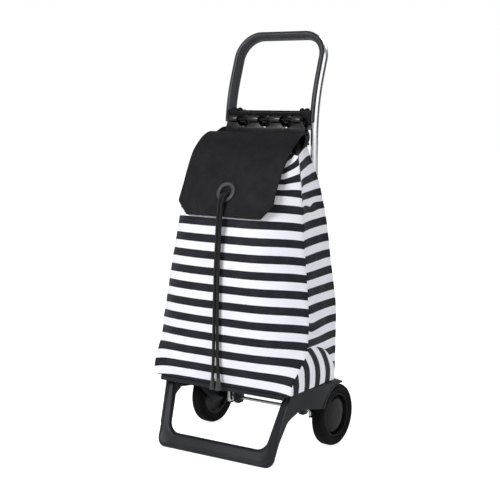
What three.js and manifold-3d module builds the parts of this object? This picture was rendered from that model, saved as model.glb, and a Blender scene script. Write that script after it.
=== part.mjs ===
// Two-wheeled shopping trolley: a bent oval-tube chassis with a moulded base, two wheels on a
// steel axle, and a striped fabric bag that hangs on three hooks and has a flap with a drawcord.
// Millimetres. +X is to the right of a person facing the front, +Y is to the back, +Z is up.
// Inside the assembly group Y is measured from the axle, which is also the plane of the uprights.
import * as THREE from 'three';
import { mergeVertices } from 'three/addons/utils/BufferGeometryUtils.js';
import Module from 'manifold-3d';

const wasm = await Module();
wasm.setup();

// ---------------------------------------------------------------- driving dimensions
const AXLE_Y = 83;            // puts the middle of the overall depth on the origin
const GAP = 0.35;             // between pieces that touch
const WHEEL_R = 70;
const WHEEL_WIDTH = 31;
const WHEEL_OUTER_X = 182;
const WHEEL_X = WHEEL_OUTER_X - WHEEL_WIDTH / 2;

const TUBE_X = 114;           // centre of each upright
const TUBE_WIDE = 14;         // across, along X
const TUBE_DEEP = 24;         // front to back
const TUBE_WALL = 1.4;
const TUBE_LOW_Z = 59;
const LEAN_START_Z = 690;
const LEAN_R = 400;
const LEAN = THREE.MathUtils.degToRad(20);
const CORNER_R = 55;
const HANDLE_Z = 919;         // centre of the top bar

const BEAM = { z0: 714, z1: 751, y0: -13, y1: 8 };
const CLAMP = { x0: 84, x1: 112, y0: -15, y1: 24, z0: 708, z1: 752, splitY: 8 };
const GRIP = { from: -38, to: 150, skin: 2.8, lowZ: 724 };
const CLAMP_SCREW = { x: 96, z: 724 };
const BOSS_XS = [84, 97];
const HOOK_XS = [-58, 0, 58];
const HOOK_WIDTH = 14;
const ROD = { y: -26, z: 731, r: 3 };

const FOOT = { topY: -181, bottomY: -243, topZ: 148, deep: 23, bottomX: 154, topX: 164, barTall: 32, gapLowX: 128, gapHighX: 141 };
const DECK = { z0: 151, z1: 156, frontY: -205, backY: 16, flareY: -70, frontHalf: 168, backHalf: 186 };
const ARCH_R = 75;
const WALL = 3;
const BASE_SCREW_Z = 128;
const AXLE = { r: 4, halfLength: 174, holeR: 4.35 };

const FABRIC = 2;
const BAG_Z0 = 157;
const BAG_Z1 = 655;
const BAG_BACK_Y = -16;
const SEAM_GAP = 5;
// height, half width at the front corners, half width at the back, front middle y, corner seam y
const BAG_STATIONS = [
  [157, 183, 182, -208, -203],
  [187, 184.5, 183, -211, -194],
  [213, 190, 184, -212, -175],
  [243, 194, 184.5, -212, -157],
  [285, 195, 185, -212, -150],
  [330, 191, 184, -210, -144],
  [420, 179, 171, -204, -136],
  [520, 165, 157, -190, -126],
  [600, 157, 137, -162, -120],
  [655, 150, 114, -127, -115],
];
const HINGE = { y: -40, z: 702 };
// flap: outer face from the hinge over the front, y, z, half width
const FLAP_STATIONS = [
  [-41.5, 703, 126],
  [-67, 703, 128],
  [-94, 691, 130],
  [-124, 665, 130],
  [-148, 632, 126],
  [-171, 592, 123],
  [-188, 556, 125],
  [-197, 526, 98],
];
const FLAP_THICK = 2.5;
const GROMMET = { v: 0.767, outerR: 23.5, holeR: 14, barrelR: 16.5, flange: 3, washer: 1.5 };
const CORD_R = 3.5;
const CORD_X = 3.8;
const BAG_TOP_HALF = 108;     // half width of the hanger and of the top edge of the back panel

// ---------------------------------------------------------------- helpers
const trolley = new THREE.Group();
trolley.position.y = AXLE_Y;

const looks = {
  aluminium: { color: 0xc9ccd0, roughness: 0.22, metalness: 1.0 },
  steel: { color: 0xb4b6b8, roughness: 0.3, metalness: 1.0 },
  blackPlastic: { color: 0x17181a, roughness: 0.5, metalness: 0.0 },
  glossPlastic: { color: 0x0d0e10, roughness: 0.2, metalness: 0.0 },
  greyPlastic: { color: 0x3a3b3f, roughness: 0.4, metalness: 0.0 },
  rubber: { color: 0x111112, roughness: 0.75, metalness: 0.0 },
  nylon: { color: 0xd8d6cf, roughness: 0.5, metalness: 0.0 },
  stripedFabric: { color: 0x8b8c8e, roughness: 0.7, metalness: 0.0 },
  blackFabric: { color: 0x1c1a1e, roughness: 0.8, metalness: 0.0 },
  board: { color: 0x2a2a2c, roughness: 0.7, metalness: 0.0 },
  cord: { color: 0x151517, roughness: 0.8, metalness: 0.0 },
};

function addPiece(name, shape, look, x = 0, y = 0, z = 0) {
  const geometry = shape instanceof THREE.BufferGeometry ? shape : toGeometry(shape);
  const mesh = new THREE.Mesh(geometry, new THREE.MeshStandardMaterial(looks[look]));
  mesh.name = name;
  mesh.position.set(x, y, z);
  trolley.add(mesh);
  return mesh;
}

function toSolid(geometry) {
  const bare = geometry.clone();
  for (const name of Object.keys(bare.attributes)) {
    if (name !== 'position') bare.deleteAttribute(name);
  }
  const merged = mergeVertices(bare, 1e-4);
  return new wasm.Manifold(new wasm.Mesh({
    numProp: 3,
    vertProperties: new Float32Array(merged.attributes.position.array),
    triVerts: new Uint32Array(merged.index.array),
  }));
}

function toGeometry(solid) {
  const mesh = solid.getMesh();
  const geometry = new THREE.BufferGeometry();
  geometry.setAttribute('position', new THREE.BufferAttribute(mesh.vertProperties, 3));
  geometry.setIndex(new THREE.BufferAttribute(mesh.triVerts, 1));
  return geometry;
}

// a box from its lowest to its highest corner
function block(x0, x1, y0, y1, z0, z1) {
  const box = new THREE.BoxGeometry(x1 - x0, y1 - y0, z1 - z0);
  return toSolid(box.translate((x0 + x1) / 2, (y0 + y1) / 2, (z0 + z1) / 2));
}

// a round bar along an axis, centred on the point given
function bar(axis, r, length, x, y, z, sides = 24) {
  const geometry = new THREE.CylinderGeometry(r, r, length, sides);
  if (axis === 'x') geometry.rotateZ(Math.PI / 2);
  if (axis === 'z') geometry.rotateX(Math.PI / 2);
  return toSolid(geometry.translate(x, y, z));
}

// a turned shape about the X axis: profile points are radius and place along the axis
function turned(profile, sides = 40) {
  const points = profile.map(([r, x]) => new THREE.Vector2(r, x));
  return toSolid(new THREE.LatheGeometry(points, sides).rotateZ(-Math.PI / 2));
}

// a turned ring, whose profile closes on itself
function turnedRing(profile, sides = 40) {
  return turned([...profile, profile[0]], sides);
}

// a flat outline in the YZ plane, thickened along X from x0 to x1
function slabX(outline, x0, x1, steps = 8) {
  const geometry = new THREE.ExtrudeGeometry(outline, { depth: x1 - x0, bevelEnabled: false, curveSegments: steps });
  geometry.rotateZ(Math.PI / 2);
  geometry.rotateY(Math.PI / 2);
  return toSolid(geometry.translate(x0, 0, 0));
}

// a flat outline in the XZ plane, thickened along Y from y0 to y1
function slabY(outline, y0, y1, steps = 8) {
  const geometry = new THREE.ExtrudeGeometry(outline, { depth: y1 - y0, bevelEnabled: false, curveSegments: steps });
  return toSolid(geometry.rotateX(Math.PI / 2).translate(0, y1, 0));
}

// a flat outline in the XY plane, thickened along Z from z0 to z1
function slabZ(outline, z0, z1, steps = 8) {
  const geometry = new THREE.ExtrudeGeometry(outline, { depth: z1 - z0, bevelEnabled: false, curveSegments: steps });
  return toSolid(geometry.translate(0, 0, z0));
}

function polygon(points) {
  return new THREE.Shape(points.map(([a, b]) => new THREE.Vector2(a, b)));
}

function roundedRectangle(x0, x1, y0, y1, r) {
  const shape = new THREE.Shape();
  shape.moveTo(x0 + r, y0);
  shape.lineTo(x1 - r, y0);
  shape.absarc(x1 - r, y0 + r, r, -Math.PI / 2, 0);
  shape.lineTo(x1, y1 - r);
  shape.absarc(x1 - r, y1 - r, r, 0, Math.PI / 2);
  shape.lineTo(x0 + r, y1);
  shape.absarc(x0 + r, y1 - r, r, Math.PI / 2, Math.PI);
  shape.lineTo(x0, y0 + r);
  shape.absarc(x0 + r, y0 + r, r, Math.PI, 1.5 * Math.PI);
  return shape;
}

// a sheet of even thickness on the grid point(u, v), thickened to the side that its normal leaves
function sheet(point, columns, rows, thickness) {
  const at = (i, j) => point(i / columns, j / rows);
  const normalAt = (i, j) => {
    const e = 1e-3;
    const u = THREE.MathUtils.clamp(i / columns, e, 1 - e);
    const v = THREE.MathUtils.clamp(j / rows, e, 1 - e);
    const du = point(u + e, v).sub(point(u - e, v));
    const dv = point(u, v + e).sub(point(u, v - e));
    return du.cross(dv).normalize();
  };
  const across = columns + 1;
  const layer = across * (rows + 1);
  const places = [];
  for (const depth of [0, -thickness]) {
    for (let j = 0; j <= rows; j++) {
      for (let i = 0; i <= columns; i++) {
        places.push(...at(i, j).addScaledVector(normalAt(i, j), depth).toArray());
      }
    }
  }
  const faces = [];
  const quad = (a, b, c, d) => faces.push(a, b, c, a, c, d);
  const outer = (i, j) => j * across + i;
  const inner = (i, j) => layer + j * across + i;
  for (let j = 0; j < rows; j++) {
    for (let i = 0; i < columns; i++) {
      quad(outer(i, j), outer(i + 1, j), outer(i + 1, j + 1), outer(i, j + 1));
      quad(inner(i, j), inner(i, j + 1), inner(i + 1, j + 1), inner(i + 1, j));
    }
    quad(outer(0, j), outer(0, j + 1), inner(0, j + 1), inner(0, j));
    quad(outer(columns, j + 1), outer(columns, j), inner(columns, j), inner(columns, j + 1));
  }
  for (let i = 0; i < columns; i++) {
    quad(outer(i + 1, 0), outer(i, 0), inner(i, 0), inner(i + 1, 0));
    quad(outer(i, rows), outer(i + 1, rows), inner(i + 1, rows), inner(i, rows));
  }
  const geometry = new THREE.BufferGeometry();
  geometry.setAttribute('position', new THREE.Float32BufferAttribute(places, 3));
  geometry.setIndex(faces);
  return geometry;
}

// smooth values between stations: the first column is where, the others are what
function smooth(stations) {
  const keys = stations.map((row) => row[0]);
  const values = stations.flatMap((row) => row.slice(1));
  const size = stations[0].length - 1;
  const curve = new THREE.CubicInterpolant(keys, values, size, new Float64Array(size));
  return (where) => Array.from(curve.evaluate(where));
}

// ---------------------------------------------------------------- chassis
// centre line of the tube: up the left side, back along the lean, over the top and down the right
function handlePath(fromZ) {
  const left = [];
  for (const z of [fromZ, LEAN_START_Z]) {
    if (fromZ < LEAN_START_Z) left.push(new THREE.Vector3(-TUBE_X, 0, z));
  }
  const startAngle = fromZ < LEAN_START_Z ? 0 : Math.asin((fromZ - LEAN_START_Z) / LEAN_R);
  const leanSteps = 7;
  for (let k = fromZ < LEAN_START_Z ? 1 : 0; k <= leanSteps; k++) {
    const a = startAngle + ((LEAN - startAngle) * k) / leanSteps;
    left.push(new THREE.Vector3(-TUBE_X, LEAN_R * (1 - Math.cos(a)), LEAN_START_Z + LEAN_R * Math.sin(a)));
  }
  const up = new THREE.Vector3(0, Math.sin(LEAN), Math.cos(LEAN));
  const leanEnd = left[left.length - 1].clone();
  const rise = (HANDLE_Z - leanEnd.z) / Math.cos(LEAN);
  const cornerStart = leanEnd.clone().addScaledVector(up, rise - CORNER_R);
  const cornerSteps = 9;
  for (let k = 0; k <= cornerSteps; k++) {
    const a = (Math.PI / 2) * (k / cornerSteps);
    const point = cornerStart.clone().addScaledVector(up, CORNER_R * Math.sin(a));
    point.x += CORNER_R * (1 - Math.cos(a));
    left.push(point);
  }
  const right = left.map((p) => new THREE.Vector3(-p.x, p.y, p.z)).reverse();
  return [...left, ...right];
}

// a path whose steps land on the points given, and whose section keeps its front to the front
class PointPath extends THREE.Curve {
  constructor(points) {
    super();
    this.points = points;
  }

  getPointAt(t, target = new THREE.Vector3()) {
    return target.copy(this.points[Math.round(t * (this.points.length - 1))]);
  }

  tangentAt(k) {
    const here = this.points[k];
    const into = here.clone().sub(this.points[Math.max(k - 1, 0)]).normalize();
    const out = this.points[Math.min(k + 1, this.points.length - 1)].clone().sub(here).normalize();
    return into.add(out).normalize();
  }

  computeFrenetFrames() {
    const tangents = this.points.map((point, k) => this.tangentAt(k));
    const normals = [];
    let front = new THREE.Vector3(0, -1, 0);
    for (const tangent of tangents) {
      front = front.clone().addScaledVector(tangent, -front.dot(tangent)).normalize();
      normals.push(front);
    }
    const binormals = tangents.map((tangent, k) => tangent.clone().cross(normals[k]));
    return { tangents, normals, binormals };
  }
}

// a section swept along points: the section's first axis is to the front, its second is inwards
function sweep(shape, points) {
  const extrudePath = new PointPath(points);
  return toSolid(new THREE.ExtrudeGeometry(shape, { steps: points.length - 1, extrudePath, bevelEnabled: false }));
}

// points on the tube's oval, grown by an amount, from one angle to another in degrees
function ovalArc(grow, from, to, steps) {
  const points = [];
  for (let k = 0; k <= steps; k++) {
    const a = THREE.MathUtils.degToRad(from + ((to - from) * k) / steps);
    const deep = TUBE_DEEP / 2 + grow;
    const wide = TUBE_WIDE / 2 + grow;
    points.push(new THREE.Vector2(deep * Math.cos(a), wide * Math.sin(a)));
  }
  return points;
}

function oval(grow, sides = 16) {
  return ovalArc(grow, 0, 360 - 360 / sides, sides - 1);
}

const tubePath = handlePath(TUBE_LOW_Z);
const tubeRoom = sweep(new THREE.Shape(oval(GAP)), tubePath);

function makeHandleTube() {
  const section = new THREE.Shape(oval(0));
  section.holes.push(new THREE.Path(oval(-TUBE_WALL).reverse()));
  let tube = sweep(section, tubePath);
  for (const side of [-1, 1]) {
    tube = tube.subtract(bar('x', AXLE.holeR, 40, side * TUBE_X, 0, WHEEL_R));
    tube = tube.subtract(bar('y', 2 + GAP, 40, side * TUBE_X, 0, BASE_SCREW_Z, 12));
  }
  return tube;
}
addPiece('handle_tube', makeHandleTube(), 'aluminium');

// the grip clips over the front and the inside of the tube and leaves its back and outside bare
function gripSection(grow) {
  const [from, to] = [GRIP.from - 8 * grow, GRIP.to + 8 * grow];
  const outside = ovalArc(GAP + GRIP.skin + grow, from, to, 9);
  const inside = ovalArc(GAP - grow, from, to, 9).reverse();
  return new THREE.Shape([...outside, ...inside]);
}
addPiece('handle_grip', sweep(gripSection(0), handlePath(GRIP.lowZ)), 'blackPlastic');
const gripRoom = sweep(gripSection(GAP), handlePath(GRIP.lowZ - GAP));

// a plug closes each open lower end of the tube
for (const [side, hand] of [[-1, 'left'], [1, 'right']]) {
  const flat = (grow) => new THREE.Shape(oval(grow).map((p) => new THREE.Vector2(side * TUBE_X + p.y, p.x)));
  const inTube = slabZ(flat(-TUBE_WALL - GAP), TUBE_LOW_Z - 2, TUBE_LOW_Z + 22);
  const lid = slabZ(flat(0), TUBE_LOW_Z - 4, TUBE_LOW_Z - GAP);
  const plug = inTube.add(lid).subtract(bar('x', AXLE.holeR, 40, side * TUBE_X, 0, WHEEL_R));
  addPiece(`${hand}_tube_plug`, plug, 'blackPlastic');
}

// ---------------------------------------------------------------- crossbar and its clamps
function clampOutline(side) {
  const c = CLAMP;
  const points = [[c.x0, c.z1], [c.x1, c.z1], [c.x1, c.z0 + 16], [c.x1 - 15, c.z0], [c.x0 + 8, c.z0], [c.x0, c.z0 + 8]];
  return polygon(points.map(([x, z]) => [side * x, z]));
}

// the cradle under the hanger's rod is open up and to the front, the way the rod lifts out
function makeHook(x) {
  const [innerR, outerR] = [ROD.r + 0.4, ROD.r + 3.4];
  const openFrom = THREE.MathUtils.degToRad(45);
  const openTo = THREE.MathUtils.degToRad(225);
  const cradle = new THREE.Shape();
  cradle.absarc(ROD.y, ROD.z, outerR, openTo, openFrom + 2 * Math.PI, false);
  cradle.absarc(ROD.y, ROD.z, innerR, openFrom + 2 * Math.PI, openTo, true);
  const hook = slabX(cradle, x - HOOK_WIDTH / 2, x + HOOK_WIDTH / 2, 12);
  const armY = ROD.y + 5;
  const arm = polygon([[armY, ROD.z - 1], [BEAM.y0 + 1, ROD.z - 1], [BEAM.y0 + 1, BEAM.z1 - 8], [armY + 1, ROD.z + 9]]);
  return hook.add(slabX(arm, x - HOOK_WIDTH / 2, x + HOOK_WIDTH / 2));
}

function makeCrossbar() {
  const beamReach = CLAMP.x0 + 4;
  let crossbar = slabX(roundedRectangle(BEAM.y0, BEAM.y1, BEAM.z0, BEAM.z1, 5), -beamReach, beamReach, 4);
  crossbar = crossbar.subtract(block(-beamReach + 8, beamReach - 8, BEAM.y1 - 8, BEAM.y1 + 1, BEAM.z0 + 5, BEAM.z1 - 5));
  for (const side of [-1, 1]) {
    crossbar = crossbar.add(slabY(clampOutline(side), CLAMP.y0, CLAMP.splitY));
    for (const x of BOSS_XS) {
      const boss = new THREE.SphereGeometry(6, 16, 8).scale(1, 1, 0.75).translate(side * x, -3, CLAMP.z1);
      crossbar = crossbar.add(toSolid(boss));
    }
    crossbar = crossbar.subtract(bar('y', 2.4, 60, side * CLAMP_SCREW.x, 0, CLAMP_SCREW.z, 12));
  }
  for (const x of HOOK_XS) crossbar = crossbar.add(makeHook(x));
  return crossbar.subtract(tubeRoom).subtract(gripRoom);
}
addPiece('crossbar', makeCrossbar(), 'blackPlastic');

for (const [side, hand] of [[-1, 'left'], [1, 'right']]) {
  const screwPlace = [side * CLAMP_SCREW.x, CLAMP_SCREW.z];
  let cap = slabY(clampOutline(side), CLAMP.splitY + GAP, CLAMP.y1).subtract(tubeRoom).subtract(gripRoom);
  cap = cap.subtract(bar('y', 2.4, 60, screwPlace[0], 0, screwPlace[1], 12));
  addPiece(`${hand}_clamp_cap`, cap, 'blackPlastic');
  const shank = bar('y', 2, CLAMP.y1 - CLAMP.y0 + 2, screwPlace[0], (CLAMP.y0 + CLAMP.y1) / 2, screwPlace[1], 12);
  const head = bar('y', 4, 2.2, screwPlace[0], CLAMP.y0 - GAP - 1.1, screwPlace[1], 20);
  addPiece(`${hand}_clamp_screw`, shank.add(head), 'steel');
}

// ---------------------------------------------------------------- base moulding
// the foot's upright ring, made square and then leaned so that its underside stays level
function makeFoot() {
  const [corner, lip, dish, gapTop] = [16, 5, 4, DECK.z0 - 9];
  const outline = (inset, top) => polygon([
    [-FOOT.bottomX + inset, corner], [-FOOT.bottomX + inset + 5, 5 + inset], [-FOOT.bottomX + inset + corner, inset],
    [FOOT.bottomX - inset - corner, inset], [FOOT.bottomX - inset - 5, 5 + inset], [FOOT.bottomX - inset, corner],
    [FOOT.topX - inset, top], [-FOOT.topX + inset, top],
  ]);
  const gap = (grow) => {
    const [low, high, turn] = [FOOT.gapLowX + grow, FOOT.gapHighX + grow, 26];
    const [z0, z1] = [FOOT.barTall - grow, gapTop + grow];
    const shape = new THREE.Shape();
    shape.moveTo(-low + turn, z0);
    shape.lineTo(low - turn, z0);
    shape.quadraticCurveTo(low, z0, low + 3, z0 + turn);
    shape.lineTo(high - 3, z1 - turn);
    shape.quadraticCurveTo(high, z1, high - turn, z1);
    shape.lineTo(-high + turn, z1);
    shape.quadraticCurveTo(-high, z1, -high + 3, z1 - turn);
    shape.lineTo(-low - 3, z0 + turn);
    shape.quadraticCurveTo(-low, z0, -low + turn, z0);
    return shape;
  };
  let foot = slabY(outline(0, DECK.z0 + 1), 0, FOOT.deep);
  foot = foot.subtract(slabY(gap(0), -1, FOOT.deep + 1, 6));
  foot = foot.subtract(slabY(outline(lip, DECK.z0 - 5), -1, dish).subtract(slabY(gap(lip), -2, dish + 1, 6)));
  const slope = (FOOT.topY - FOOT.bottomY) / FOOT.topZ;
  return foot.transform([1, 0, 0, 0, 0, 1, 0, 0, 0, slope, 1, 0, 0, FOOT.bottomY, 0, 1]);
}

function archPoints(r, from, to, steps) {
  const points = [];
  for (let k = 0; k <= steps; k++) {
    const a = THREE.MathUtils.degToRad(from + ((to - from) * k) / steps);
    points.push([r * Math.cos(a), WHEEL_R + r * Math.sin(a)]);
  }
  return points;
}

// one side: a flared skirt, the mudguard over the wheel, and the walls that carry the axle
function makeBaseSide() {
  const archLow = { y: -68, z: 101 };
  const hull = wasm.Manifold.hull;
  const skirtFront = block(FOOT.topX - WALL - 1, FOOT.topX - 1, DECK.frontY + 14, DECK.frontY + 20, 112, DECK.z0 + 1);
  const skirtBack = block(DECK.backHalf - WALL, DECK.backHalf, DECK.flareY - 2, DECK.flareY, archLow.z, DECK.z1);
  let side = hull([skirtFront, skirtBack]);
  const guard = [...archPoints(ARCH_R, 83, 155, 10), [DECK.flareY - 1, archLow.z], [DECK.flareY - 1, DECK.z1], [9, DECK.z1]];
  side = side.add(slabX(polygon(guard), DECK.backHalf - WALL, DECK.backHalf));
  const arch = [...archPoints(ARCH_R, 83, 155, 10), ...archPoints(ARCH_R + WALL, 83, 155, 10).reverse()];
  side = side.add(slabX(polygon(arch), 144, DECK.backHalf));
  const innerWall = polygon([[-74, DECK.z1 - 1], [-74, 100], [-30, 56], [14, 56], [14, DECK.z1 - 1]]);
  side = side.add(slabX(innerWall, 144, 144 + WALL));
  const bracket = polygon([[-16, DECK.z1 - 1], [-16, 66], [-9, 57], [9, 57], [14, 66], [14, DECK.z1 - 1]]);
  side = side.add(slabX(bracket, 84, 96));
  side = side.add(block(TUBE_X - 12, TUBE_X + 12, -19, 16, 96, DECK.z1));
  const web = polygon([[-203, 60], [-193, 71], [-168, 89], [-139, 107], [-120, 111], [-120, DECK.z1 - 1], [-180, DECK.z1 - 1]]);
  side = side.add(slabX(web, FOOT.topX - 2 * WALL - 1, FOOT.topX - WALL - 1));
  return side.subtract(bar('x', AXLE.holeR, 400, 0, 0, WHEEL_R, 20));
}

function makeBase() {
  const d = DECK;
  const corner = 22;
  const deckOutline = polygon([
    [-d.frontHalf + corner, d.frontY], [d.frontHalf - corner, d.frontY], [d.frontHalf - 6, d.frontY + 5],
    [d.frontHalf, d.frontY + 14], [d.backHalf, d.flareY], [d.backHalf, 9], [TUBE_X + 14, d.backY],
    [-TUBE_X - 14, d.backY], [-d.backHalf, 9], [-d.backHalf, d.flareY], [-d.frontHalf, d.frontY + 14],
    [-d.frontHalf + 6, d.frontY + 5],
  ]);
  let base = slabZ(deckOutline, d.z0, d.z1).add(makeFoot());
  const right = makeBaseSide();
  base = base.add(right).add(right.mirror([1, 0, 0]));
  for (const x of [-56, 0, 56]) base = base.add(block(x - 1.5, x + 1.5, d.frontY + 8, d.backY - 4, 136, d.z0 + 1));
  for (const side of [-1, 1]) base = base.subtract(bar('y', 2.2, 60, side * TUBE_X, 0, BASE_SCREW_Z, 12));
  return base.subtract(tubeRoom);
}
addPiece('base_moulding', makeBase(), 'blackPlastic');

for (const [side, hand] of [[-1, 'left'], [1, 'right']]) {
  const shank = bar('y', 1.9, 34, side * TUBE_X, 0, BASE_SCREW_Z, 12);
  const head = bar('y', 4, 2.2, side * TUBE_X, DECK.backY + GAP + 1.1, BASE_SCREW_Z, 20);
  addPiece(`${hand}_base_screw`, shank.add(head), 'steel');
}

// ---------------------------------------------------------------- axle and wheels
addPiece('axle', bar('x', AXLE.r, 2 * AXLE.halfLength, 0, 0, WHEEL_R), 'steel');

const tyreProfile = [
  [50, -12], [54, -13.4], [59, -15.5], [64, -15], [68, -12.4], [70, -8],
  [70, 8], [68, 12.4], [64, 15], [59, 15.5], [54, 13.4], [50, 12],
];
const rimProfile = [
  [7.8, -13.5], [13, -13.5], [14, -3], [40, -3], [44, -11.5], [49.6, -11.5],
  [49.6, 11.5], [46.5, 12.5], [44, 1], [14, 1], [13, 3.5], [7.8, 3.5],
];
const capProfile = [
  [0, 8.6], [20, 7.9], [33, 5.8], [39.5, 1.4], [42.8, 1.4], [42.8, 4], [35, 8.2], [20, 10.2], [0, 10.8],
];
const bushProfile = [[4.35, -15.8], [9.5, -15.8], [9.5, -13.85], [7.4, -13.85], [7.4, 3.5], [4.35, 3.5]];
const ring = (innerR, outerR, x0, x1) => [[innerR, x0], [outerR, x0], [outerR, x1], [innerR, x1]];

for (const [side, hand] of [[-1, 'left'], [1, 'right']]) {
  const outwards = (solid) => (side > 0 ? solid : solid.mirror([1, 0, 0]));
  const place = [side * WHEEL_X, 0, WHEEL_R];
  addPiece(`${hand}_tyre`, outwards(turnedRing(tyreProfile)), 'rubber', ...place);
  addPiece(`${hand}_rim`, outwards(turnedRing(rimProfile, 32)), 'blackPlastic', ...place);
  addPiece(`${hand}_hub_cap`, outwards(turned(capProfile, 32)), 'glossPlastic', ...place);
  addPiece(`${hand}_hub_bush`, outwards(turnedRing(bushProfile, 20)), 'nylon', ...place);
  addPiece(`${hand}_retaining_ring`, outwards(turnedRing(ring(4.3, 7.5, 3.9, 5.9), 20)), 'steel', ...place);
  addPiece(`${hand}_wheel_washer`, outwards(turnedRing(ring(4.35, 9.5, 147.5, 150.3), 20)), 'steel', 0, 0, WHEEL_R);
  addPiece(`${hand}_axle_sleeve`, outwards(turnedRing(ring(4.35, 7.5, 121.5, 143.6), 20)), 'blackPlastic', 0, 0, WHEEL_R);
}

// ---------------------------------------------------------------- bag
const bagAt = smooth(BAG_STATIONS);

// the front is flat in the middle and rounds back to the corner seams; s runs from -1 to 1
function bagFront(s, z, inset = 0) {
  const [cornerHalf, , frontY, seamY] = bagAt(z);
  const reach = 1 - s ** 4;
  return new THREE.Vector3(s * (cornerHalf - inset), seamY + inset + (frontY - seamY) * reach, z);
}

// height of the arc that joins each base gusset to the side panel above it: a quarter of an ellipse
// that falls from the corner seam to the back edge
const GUSSET_TALL = 96;
const gussetTop = (t) => BAG_Z0 + 8 + (GUSSET_TALL - 8) * Math.sqrt(Math.max(0, 1 - t ** 2));

// a point on the side of the bag: t runs from the corner seam to the back edge
function bagSide(side, t, z) {
  const [cornerHalf, backHalf, , seamY] = bagAt(z);
  const [frontY, backY] = [seamY + SEAM_GAP, BAG_BACK_Y - SEAM_GAP];
  return new THREE.Vector3(
    side * THREE.MathUtils.lerp(cornerHalf, backHalf, t), THREE.MathUtils.lerp(frontY, backY, t), z,
  );
}

const lerp = THREE.MathUtils.lerp;
const frontPanel = sheet((u, v) => bagFront(1 - 2 * u, lerp(BAG_Z1, BAG_Z0, v)), 16, 12, FABRIC);
addPiece('bag_front_panel', frontPanel, 'stripedFabric');

const BACK_TOP_Z = 698;
const backHalfAt = (z) => (z > BAG_Z1 ? BAG_TOP_HALF + 6 * (1 - (z - BAG_Z1) / (BACK_TOP_Z - BAG_Z1)) : bagAt(z)[1]);
const backPanel = sheet((u, v) => {
  const z = lerp(BAG_Z0, BACK_TOP_Z, v);
  return new THREE.Vector3((1 - 2 * u) * backHalfAt(z), BAG_BACK_Y, z);
}, 2, 12, FABRIC);
addPiece('bag_back_panel', backPanel, 'stripedFabric');

for (const [side, hand] of [[-1, 'left'], [1, 'right']]) {
  const along = (u) => (side > 0 ? u : 1 - u);
  const upper = sheet((u, v) => {
    const t = along(u);
    return bagSide(side, t, lerp(gussetTop(t) + SEAM_GAP, BAG_Z1, v));
  }, 12, 10, FABRIC);
  addPiece(`bag_${hand}_side_panel`, upper, 'stripedFabric');
  const gusset = sheet((u, v) => {
    const t = along(u);
    return bagSide(side, t, lerp(BAG_Z0, gussetTop(t), v));
  }, 12, 3, FABRIC);
  addPiece(`bag_${hand}_base_gusset`, gusset, 'stripedFabric');
}

// the floor of the bag, inside its walls
function bagFloor(inset, z0, z1) {
  const points = [];
  for (let k = 0; k <= 16; k++) {
    const p = bagFront(-1 + k / 8, BAG_Z0 + 3, inset);
    points.push([p.x, p.y]);
  }
  const backHalf = bagAt(BAG_Z0)[1] - inset;
  points.push([backHalf, BAG_BACK_Y - inset], [-backHalf, BAG_BACK_Y - inset]);
  return slabZ(polygon(points), z0, z1);
}
addPiece('bag_bottom_panel', bagFloor(FABRIC + 6.5, BAG_Z0, BAG_Z0 + FABRIC), 'blackFabric');
addPiece('base_board', bagFloor(FABRIC + 14, BAG_Z0 + FABRIC + GAP, BAG_Z0 + FABRIC + GAP + 3), 'board');

// the collar closes the mouth of the bag under the flap: three walls, open to the back
const COLLAR = { z0: BAG_Z1 + 3, z1: 680 };
const collarLow = [[-112, -20], [-145, -110], [-138, -118], [138, -118], [145, -110], [112, -20]];
const collarHigh = [[-104, -44], [-116, -74], [-108, -81], [108, -81], [116, -74], [104, -44]];
function alongPoints(points, place) {
  const k = Math.min(Math.floor(place), points.length - 2);
  return [0, 1].map((axis) => lerp(points[k][axis], points[k + 1][axis], place - k));
}
const collar = sheet((u, v) => {
  const low = alongPoints(collarLow, u * 5);
  const high = alongPoints(collarHigh, u * 5);
  return new THREE.Vector3(lerp(low[0], high[0], v), lerp(low[1], high[1], v), lerp(COLLAR.z0, COLLAR.z1, v));
}, 20, 3, FABRIC);
addPiece('bag_collar', collar, 'blackFabric');

// the hem along the collar's top edge, which the drawcord runs through
const hemPoints = collarHigh.map(([x, y]) => new THREE.Vector3(x * 0.985, y + 1, COLLAR.z1 + 4.2));
function makeHem() {
  const curve = new THREE.CatmullRomCurve3(hemPoints, false, 'centripetal');
  const section = new THREE.Shape();
  section.absarc(0, 0, 3.6, 0, 2 * Math.PI);
  return new THREE.ExtrudeGeometry(section, { steps: 36, extrudePath: curve, bevelEnabled: false, curveSegments: 4 });
}
addPiece('collar_hem', makeHem(), 'blackFabric');

// ---------------------------------------------------------------- hanger
const HANGER = { half: 96, rollR: 8, skirtY0: -28.5, skirtY1: -24, lowZ: 699, notchR: 16, notchZ: 729 };
function makeHangerBar() {
  let hanger = bar('x', HANGER.rollR, 2 * HANGER.half, 0, ROD.y, ROD.z, 24);
  const right = [[BAG_TOP_HALF, HANGER.lowZ], [BAG_TOP_HALF, HANGER.lowZ + 13], [HANGER.half, ROD.z]];
  const left = right.map(([x, z]) => [-x, z]).reverse();
  hanger = hanger.add(slabY(polygon([...right, ...left]), HANGER.skirtY0, HANGER.skirtY1));
  hanger = hanger.subtract(bar('x', ROD.r + GAP, 4 * BAG_TOP_HALF, 0, ROD.y, ROD.z));
  for (const x of HOOK_XS) hanger = hanger.subtract(bar('y', HANGER.notchR, 60, x, ROD.y, HANGER.notchZ, 32));
  return hanger;
}
addPiece('hanger_bar', makeHangerBar(), 'blackPlastic');
addPiece('hanger_rod', bar('x', ROD.r, 2 * HANGER.half + 6, 0, ROD.y, ROD.z, 20), 'steel');
addPiece('hanger_band', block(-BAG_TOP_HALF, BAG_TOP_HALF, HINGE.y + 0.6, HANGER.skirtY0 - GAP, 698.5, 702), 'blackFabric');

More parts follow.
